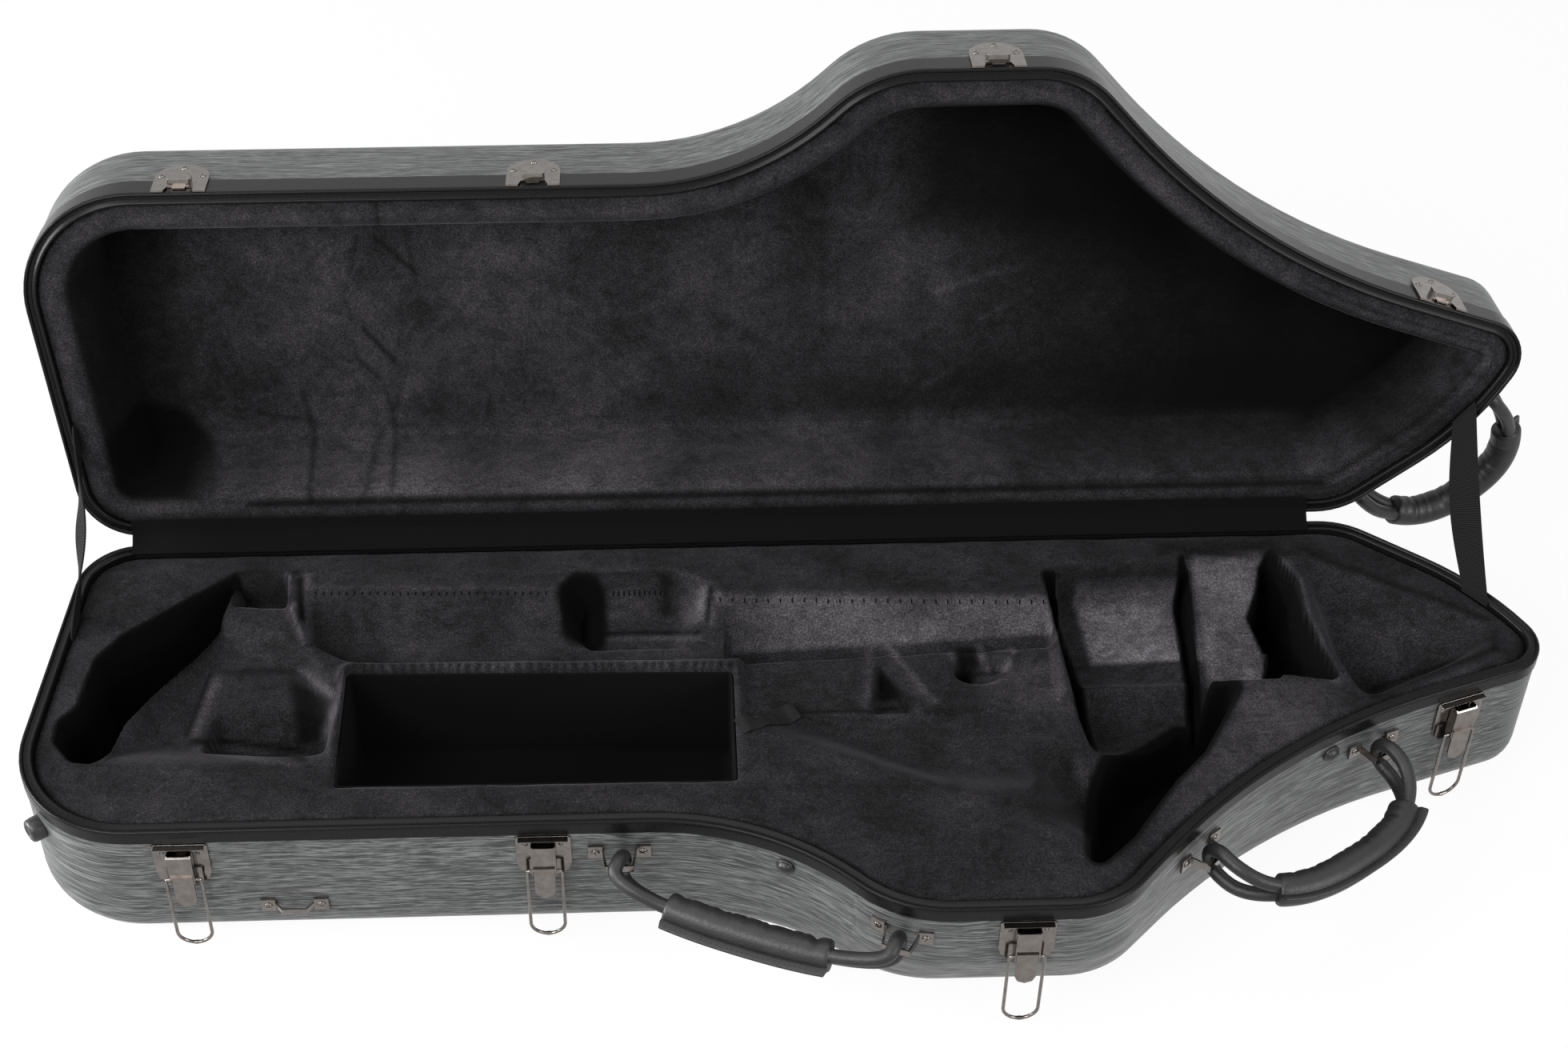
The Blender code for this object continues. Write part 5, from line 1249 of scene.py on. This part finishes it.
def handle(name, shares, z, back, bow, droop, matrix):
    """A leather grip and its two rope eyes in one piece, hung from the bars of its brackets."""
    middles = [wall_frame(share * LENGTH, z, back, ARCH_OUT).translation for share in shares]
    if back:
        middles.reverse()
    chord = middles[1] - middles[0]
    path = handle_path(chord.length, bow)
    total = sum((end - start).length for start, end in zip(path, path[1:]))
    rings, stitches = grip(path, total, len(name))
    pieces = [loft("grip", rings, "leather"), loft("eye", eye(path), "leather", closed=True),
              loft("eye", eye(path[::-1]), "leather", closed=True)]
    joined = bmesh.new()
    for piece in pieces:
        joined.from_mesh(piece.data)
        bpy.data.objects.remove(piece)
    mesh = bpy.data.meshes.new("handle")
    joined.to_mesh(mesh)
    joined.free()
    smooth_but(mesh, 50)
    between = Matrix.Identity(4)
    between.col[0][:3] = chord.normalized()
    between.col[1][:3] = Vector((0, 0, 1)).cross(chord.normalized())
    between.translation = middles[0]
    drooped = matrix @ between @ Matrix.Rotation(math.radians(droop), 4, "X")
    placed = drooped @ Matrix.Scale(-1, 4, (0, 1, 0))
    made = new_object(f"leather_handle_{name}", mesh, "leather")
    settle(made, placed, f"{name}_handle", [f"{name}_handle"])
    made.data.flip_normals()
    thread = pills(f"handle_stitches_{name}", stitches, "thread")
    settle(thread, placed, f"{name}_handle")
    thread.data.flip_normals()


# Fittings

LATCH_SHARES = (-0.3955, -0.1682, 0.1311, 0.4397)
PLATE_WIDTH = 0.0412
PLATE_THICKNESS = 0.0015
PLATE_BELOW_RIM = 0.0015
RIVET_INSET = 0.0062
LEVER_WIDTH = 0.0183
LEVER_WALL = 0.0010
LEVER_PIVOT_DROP = 0.0075
LEVER_PIVOT_OUT = 0.0055
BAIL_RADIUS = 0.00135
BAIL_WIDTH = 0.0288
BAIL_PIVOT_DROP = 0.0245
BAIL_PIVOT_OUT = 0.0010
BAIL_BEND = 0.0022
BAIL_SLACK = 0.0015
BEND_STEPS = 6
BOW_STEPS = 24
CATCH_HEIGHT = 0.047
CATCH_ABOVE_SEAM = 0.0020
CATCH_RISE_SHARE = 0.56
SCREW_INSET = 0.0052
SCREW_RADIUS = 0.0024
BOSS_TOP = 0.0265
STRAP_PLATE = (-0.3297, -0.0880)
STRAP_EAR_OFFSET = 0.0200
STUD_SHARES = (-0.0161, 0.3458)
STUD_DROP = 0.0250
FOOT_FORWARD_SHARE = 0.6767
FOOT_DROP = 0.0340


def head(matrix, radius, slot_turn):
    """A rivet or screw head that covers the plain one, and a dark pill across it as the slot's painted shade.
    """
    cap = (dome(radius + 0.0003, RIVET_HEIGHT + 0.00025), matrix)
    turned_matrix = matrix.to_3x3()
    along = turned_matrix @ Vector((math.cos(slot_turn), 0, math.sin(slot_turn)))
    centre = matrix @ Vector((0, -(RIVET_HEIGHT + 0.00022), 0))
    slot = (centre, along, turned_matrix @ Vector((0, -1, 0)), (radius * 0.72, 0.0003, 0.00022))
    return cap, slot


def heads():
    """Every visible rivet and screw, on the latch plates, catches, handles' ears and strap plate."""
    draw = random.Random(11)
    groups = {"base": [], "lid": []}
    for share in LATCH_SHARES:
        seat = wall_frame(share * LENGTH, 0.0)
        top = -(BASE_RIM_HEIGHT + PLATE_BELOW_RIM)
        for side in (-1, 1):
            spot = (side * (PLATE_WIDTH / 2 - RIVET_INSET), -PLATE_THICKNESS,
                    top - PLATE_THICKNESS - RIVET_INSET)
            groups["base"].append((SEAM @ seat @ Matrix.Translation(spot), RIVET_RADIUS))
        straight = CATCH_ABOVE_SEAM + CATCH_HEIGHT * CATCH_RISE_SHARE
        rise = CATCH_ABOVE_SEAM + CATCH_HEIGHT - straight
        for x, z in ((-1, 0), (1, 0), (0, 1)):
            spot = (x * (PLATE_WIDTH / 2 - SCREW_INSET), -(RIM_PROUD + PLATE_THICKNESS),
                    straight + z * (rise - RIVET_INSET))
            groups["lid"].append((LID @ seat @ Matrix.Translation(spot), SCREW_RADIUS))
    ears = [(share, z, back, EAR_OFFSET, matrix)
            for _, shares, z, back, _, _, matrix in HANDLES for share in shares]
    ears.append((*STRAP_PLATE, False, STRAP_EAR_OFFSET, SEAM))
    for share, z, back, offset, matrix in ears:
        along = wall_frame(share * LENGTH, z, back).col[0].xyz
        for side in (-1, 1):
            x = share * LENGTH + side * along.x * offset
            ear = wall_frame(x, z, back, CURVED_GAP + EAR_THICKNESS)
            groups["lid" if matrix is LID else "base"].append((matrix @ ear, RIVET_RADIUS))
    for body, places in groups.items():
        made = [head(matrix, radius, draw.uniform(0, math.pi)) for matrix, radius in places]
        caps = turned_group(f"rivet_heads_{body}", [cap for cap, _ in made], "smoked_nickel")
        slots = pills(f"rivet_slot_shades_{body}", [slot for _, slot in made], "stitch_and_slot_shade")
        for item in (caps, slots):
            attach(item, body)


def bails():
    """The latches' wire loops, round, with the weld's small lump at the lowest point."""
    for index, share in enumerate(LATCH_SHARES, start=1):
        pivot = Vector((0, -(GAP + PLATE_THICKNESS + LEVER_PIVOT_OUT) - BAIL_PIVOT_OUT,
                        -(BASE_RIM_HEIGHT + PLATE_BELOW_RIM) - LEVER_PIVOT_DROP - BAIL_PIVOT_DROP))
        half = BAIL_WIDTH / 2 - BAIL_RADIUS
        inner = LEVER_WIDTH / 2 - 2 * LEVER_WALL
        end = half - (-pivot.z + BOSS_TOP + BAIL_RADIUS + BAIL_SLACK)
        side = [Vector((inner, 0, 0)), Vector((inner + (half - inner) * 0.4, 0, 0))]
        for step in range(BEND_STEPS + 1):
            angle = math.pi / 2 * step / BEND_STEPS
            x, z = half - BAIL_BEND * (1 - math.sin(angle)), -BAIL_BEND * (1 - math.cos(angle))
            side.append(Vector((x, 0, z)))
        turn = []
        for step in range(BOW_STEPS + 1):
            angle = math.pi * step / BOW_STEPS
            turn.append(Vector((half * math.cos(angle), 0, end - half * math.sin(angle))))
        points = side + turn + [Vector((-p.x, 0, p.z)) for p in reversed(side)]
        lump = len(side) + BOW_STEPS // 2

        def size(share):
            return BAIL_RADIUS * (1 + 0.28 * math.exp(-((share * (len(points) - 1) - lump) / 0.9) ** 2))

        made = loft(f"wire_bail_{index}", tube_rings(points, size, 14, False), "smoked_nickel")
        matrix = SEAM @ wall_frame(share * LENGTH, 0.0) @ Matrix.Translation(pivot)
        settle(made, matrix, f"bail_{index}", [f"latch_bail_{index}"])


def studs():
    """Rubber studs with a moulded ring round their domed middle, and the foot on the left end."""
    stud = [(0.0074, 0.0), (0.0074, 0.0014), (0.0069, 0.0020), (0.0058, 0.0022), (0.0054, 0.0030),
            (0.0046, 0.0043), (0.0032, 0.0050), (0.0016, 0.0054), (TIP_RADIUS, 0.0055)]
    foot = [(0.0095, 0.0), (0.0095, 0.0050), (0.0092, 0.0085), (0.0084, 0.0101), (0.0070, 0.0108),
            (0.0056, 0.0110), (0.0052, 0.0104), (0.0034, 0.0102), (TIP_RADIUS, 0.0102)]
    for index, share in enumerate(STUD_SHARES, start=1):
        place = wall_frame(share * LENGTH, -STUD_DROP)
        made = turned_group(f"rubber_stud_{index}", [(stud, place)], "rubber")
        settle(made, SEAM, "base", [f"bumper_stud_{index}"])
    made = turned_group("rubber_foot", [(foot, end_frame(FOOT_FORWARD_SHARE * WIDTH, -FOOT_DROP))], "rubber")
    settle(made, SEAM, "base", ["end_foot"])


# Straps, the hinge's cover, the ribbon and the stitches

STAY_FORWARD_SHARE = 0.2381
STAY_WIDTH = 0.0255
STAY_THICKNESS = 0.0014
STAY_BOW = 0.0040
STAY_STEPS = 36
HINGE_LEFT = 0.536
HINGE_RIGHT = 0.428
HINGE_STEPS = 120
HINGE_CLOTH = 0.0012
HINGE_CLOTH_LIFT = 0.0008
PULL_WIDTH = 0.018
PULL_STEPS = 28
PULL_THICKNESS = 0.0005
# The ribbon's middle, from under the compartment's edge up on to the plateau
PULL_ROUTE = ((-0.0500, 0.2160), (-0.0380, 0.2110), (-0.0240, 0.2030), (-0.0120, 0.1960), (-0.0040, 0.1930))
# Rows of stitches on the base's plush: start, end, spacing and half length
STITCH_ROWS = (
    ((-0.384, 0.0615), (-0.200, 0.0670), 0.0060, 0.0022),
    ((-0.060, 0.0760), (0.200, 0.0885), 0.0093, 0.0024),
    ((-0.146, 0.0545), (-0.104, 0.0550), 0.0042, 0.0030),
)
FRINGE_STEPS = 240
FRINGE_RADIUS = 0.0009


def stay_edge(side):
    """Where a strap leaves the rim on one side, and half its width along the wall."""
    forward = STAY_FORWARD_SHARE * WIDTH
    points = outline(RIM_WIDTH + CURVED_GAP + GAP + STAY_THICKNESS / 2)
    for start, end in zip(points, points[1:] + points[:1]):
        if start.x * side > 0 and min(start.y, end.y) <= -forward < max(start.y, end.y):
            spot = start.lerp(end, (start.y + forward) / (start.y - end.y))
            along = (end - start).normalized() * STAY_WIDTH / 2
            return spot.to_3d(), (along if along.y < 0 else -along).to_3d()


def stay(name, side, twist, node):
    """A ribbed strap from the base's rim to the lid's; it bows, and turns a little along its free length."""
    middle, along = stay_edge(side)
    turn = Matrix.Rotation(-math.radians(LID_OPEN_DEGREES), 3, "X")
    up = Vector((0, 0, 1))
    low = [middle + up * z for z in (GAP - INSERT_DROP, CURVED_GAP)]
    high = [turn @ (middle + up * z) for z in (-CURVED_GAP, LIP_DROP - GAP)]
    rise = (high[0] - low[1]).normalized()
    sections = [(low[0], along, up)]
    for step in range(STAY_STEPS + 1):
        share = step / STAY_STEPS
        bow = Vector((side, 0, 0)) * STAY_BOW * math.sin(math.pi * share)
        swing = Matrix.Rotation(math.radians(twist) * math.sin(math.pi * share) ** 2, 3, rise)
        half = along.lerp(turn @ along, share).normalized() * STAY_WIDTH / 2
        sections.append((low[1].lerp(high[0], share) - bow, swing @ half, rise))
    sections.append((high[1], turn @ along, -(turn @ up)))
    rings = []
    for centre, half, direction in sections:
        thick = direction.cross(half).normalized() * STAY_THICKNESS / 2
        edge = half * 0.985
        rings.append([centre - edge - thick, centre + edge - thick, centre + half - thick * 0.4,
                      centre + half + thick * 0.4, centre + edge + thick, centre - edge + thick,
                      centre - half + thick * 0.4, centre - half - thick * 0.4])
    made = loft(name, rings, "webbing", sharp=60)
    made.data.transform(SEAM)
    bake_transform(made)
    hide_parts(node)


def hinge_cover():
    """The black cloth over the hinge, folded between the base's rim and the open lid's."""
    angle = math.radians(LID_OPEN_DEGREES)
    up_lid = Vector((-math.cos(angle), math.sin(angle)))
    off_lid = Vector((-math.sin(angle), -math.cos(angle)))
    fold = (Vector((-1, 0)) + up_lid).normalized() * 0.0060
    lift = off_lid * HINGE_CLOTH_LIFT
    guide = [Vector((-0.0165, HINGE_CLOTH_LIFT)), Vector((-0.0090, HINGE_CLOTH_LIFT)), fold,
             up_lid * 0.0090 + lift, up_lid * 0.0190 + lift]
    smooth = [guide[0]]
    for before, corner, after in zip(guide, guide[1:], guide[2:]):
        for share in (0.25, 0.5, 0.75):
            first, last = before.lerp(corner, 0.5 + share / 2), corner.lerp(after, share / 2)
            smooth.append(first.lerp(last, share))
    smooth.append(guide[-1])
    sides = []
    for index, point in enumerate(smooth):
        ahead = smooth[min(index + 1, len(smooth) - 1)] - smooth[max(index - 1, 0)]
        sides.append(Vector((-ahead.y, ahead.x)).normalized() * HINGE_CLOTH / 2)
    rings = []
    for step in range(HINGE_STEPS + 1):
        x = -HINGE_LEFT + (HINGE_LEFT + HINGE_RIGHT) * step / HINGE_STEPS
        sag = 0.0003 * math.sin(x * 61) + 0.0002 * math.sin(x * 173 + 1)
        section = [point + side * (1 + sag / HINGE_CLOTH) for point, side in zip(smooth, sides)]
        section += [point - side for point, side in zip(smooth[::-1], sides[::-1])]
        rings.append([Vector((x, point.x, point.y)) for point in section])
    made = loft("hinge_cover", rings, "hinge_cloth", sharp=70)
    made.data.transform(SEAM)
    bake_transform(made)
    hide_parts("hinge_flap")


def top_at(x, forward):
    """The height of the base's plush at a place."""
    return -INSERT_DROP - base_field(np.array([(x, -forward)]))[0][0]


def ribbon():
    """A grey ribbon to lift the compartment's lid by, lying in a shallow wave on the plush."""
    rings, length = [], 0.0
    lift = Vector((0, 0, PULL_THICKNESS))
    for step in range(PULL_STEPS + 1):
        place = step / PULL_STEPS * (len(PULL_ROUTE) - 1)
        index = min(int(place), len(PULL_ROUTE) - 2)
        (x0, d0), (x1, d1) = PULL_ROUTE[index], PULL_ROUTE[index + 1]
        x, forward = x0 + (x1 - x0) * (place - index), d0 + (d1 - d0) * (place - index)
        across = Vector((d1 - d0, x1 - x0, 0)).normalized() * PULL_WIDTH / 2
        wave = 0.0012 + 0.0012 * math.sin(step * 0.45) ** 2
        centre = Vector((x, -forward, 0))
        edges = []
        for sense in (-1, 1):
            spot = centre + across * sense
            edges.append(Vector((spot.x, spot.y, top_at(spot.x, -spot.y) + wave)))
        crown = (edges[0] + edges[1]) / 2
        crown.z = max(crown.z, top_at(crown.x, -crown.y) + wave)
        rings.append([edges[0], crown, edges[1], edges[1] + lift, crown + lift, edges[0] + lift])
        if step:
            length += (rings[-1][1] - rings[-2][1]).length
    made = loft("lid_ribbon", rings, "ribbon", sharp=60)
    settle(made, SEAM, "base", ["ribbon_pull"])


def seam_stitches():
    """Rows of short dark stitches sunk into the plush beside its seams."""
    draw = random.Random(4)
    places = []
    for start, end, spacing, half in STITCH_ROWS:
        count = int(math.dist(start, end) / spacing)
        for step in range(count + 1):
            share = step / count
            x = start[0] + (end[0] - start[0]) * share
            forward = start[1] + (end[1] - start[1]) * share
            low = Vector((x, -forward - half, top_at(x, forward + half)))
            high = Vector((x + draw.uniform(-0.0004, 0.0004), -forward + half, top_at(x, forward - half)))
            places.append(((low + high) / 2, high - low, Vector((0, 0, 1)), (half, 0.0007, 0.0006)))
    made = pills("seam_stitches", places, "stitch_and_slot_shade")
    settle(made, SEAM, "base")


def fringe():
    """The cloth's raw edge beside the hinge's cover: a thin fuzzy roll along the base's plush."""
    points = []
    for step in range(FRINGE_STEPS + 1):
        x = -HINGE_LEFT + 0.004 + (HINGE_LEFT + HINGE_RIGHT - 0.008) * step / FRINGE_STEPS
        y, z = -0.0172 - 0.0003 * math.sin(step * 0.9), -0.0012 + 0.0002 * math.sin(step * 1.7)
        points.append(Vector((x, y, z)))
    made = loft("hinge_cover_edge", tube_rings(points, FRINGE_RADIUS, 8, False), "plush")
    settle(made, SEAM, "base")


cushions()
liner()
for values in HANDLES:
    handle(*values)
heads()
bails()
studs()
stay("stay_strap_right", 1, 0.0, "right_stay_strap")
stay("stay_strap_left", -1, 38.0, "left_stay_strap")
hinge_cover()
ribbon()
seam_stitches()
fringe()


# CAD nodes that stay

METAL_NODES = ("latch_plate", "latch_lever", "latch_catch", "strap_plate", "hinge_leaf", "hinge_pin")
METAL_BEVEL = 0.0003


def dress(item):
    """Nickel and softened edges for a metal fitting."""
    item.data.materials.clear()
    item.data.materials.append(LOOKS["smoked_nickel"])
    weld = item.modifiers.new("weld", "WELD")
    weld.merge_threshold = 1e-6
    edge = item.modifiers.new("edge", "BEVEL")
    edge.width = METAL_BEVEL
    edge.segments = 2
    edge.limit_method = "ANGLE"
    edge.angle_limit = math.radians(30)
    edge.harden_normals = True


for name in nodes:
    if name.startswith(METAL_NODES) or "_bracket_" in name:
        dress(nodes[name])


# Stage, light and camera

def stage_floor():
    size = 14.0
    mesh = bpy.data.meshes.new("floor")
    corners = [(-size, -size, 0), (size, -size, 0), (size, size, 0), (-size, size, 0)]
    mesh.from_pydata(corners, [], [(0, 1, 2, 3)])
    made = Shade("floor_pale")
    plain = made.node("BsdfDiffuse", Color=grey(0.80))
    glow = made.node("Emission", Color=grey(1.0), Strength=1.0)
    joined = made.node("MixShader", i0=made.times(made.straight_ray(), FLOOR_GLOW), i1=plain, i2=glow)
    made.tree.links.new(joined, made.tree.nodes["Material Output"].inputs["Surface"])
    new_object("floor", mesh, made.owner)


def stage_world():
    made = Shade("studio", "worlds")
    bpy.context.scene.world = made.owner
    light = made.tree.nodes["Background"]
    made.put(light.inputs["Color"], (0.93, 0.96, 1.0, 1))
    made.put(light.inputs["Strength"], WORLD_LIGHT)
    backdrop = made.node("Background", Color=grey(0.985), Strength=1.0)
    joined = made.node("MixShader", i0=made.straight_ray(), i1=light.outputs[0], i2=backdrop)
    made.tree.links.new(joined, made.tree.nodes["World Output"].inputs["Surface"])


def lamp(name, place, target, size, power):
    data = bpy.data.lights.new(name, "AREA")
    data.shape = "RECTANGLE"
    data.size, data.size_y = size
    data.energy = power
    made = bpy.data.objects.new(name, data)
    bpy.context.scene.collection.objects.link(made)
    made.location = place
    made.rotation_mode = "QUATERNION"
    made.rotation_quaternion = (Vector(target) - Vector(place)).to_track_quat("-Z", "Y")


def camera():
    data = bpy.data.cameras.new("camera")
    data.lens = CAMERA_LENS
    data.sensor_width = SENSOR
    made = bpy.data.objects.new("camera", data)
    bpy.context.scene.collection.objects.link(made)
    turn = Matrix.Identity(4)
    for angle, axis in ((CAMERA_YAW, "Z"), (CAMERA_PITCH, "X"), (CAMERA_ROLL, "Z")):
        turn = turn @ Matrix.Rotation(math.radians(angle), 4, axis)
    made.matrix_world = Matrix.Translation(CAMERA_PLACE) @ turn
    bpy.context.scene.camera = made


stage_floor()
stage_world()
lamp("key", (-1.5, -1.5, 2.0), (0, 0.1, 0.1), (1.6, 1.2), 62)
lamp("fill", (1.9, -1.5, 1.5), (0, 0.1, 0.1), (1.2, 1.2), 40)
lamp("left", (-2.4, 0.0, 0.7), (-0.3, 0, 0.1), (1.2, 1.0), 88)
lamp("top", (0.0, 0.3, 2.6), (0, 0.1, 0.1), (2.4, 1.2), 20)
camera()
bpy.context.scene.view_settings.view_transform = "Standard"
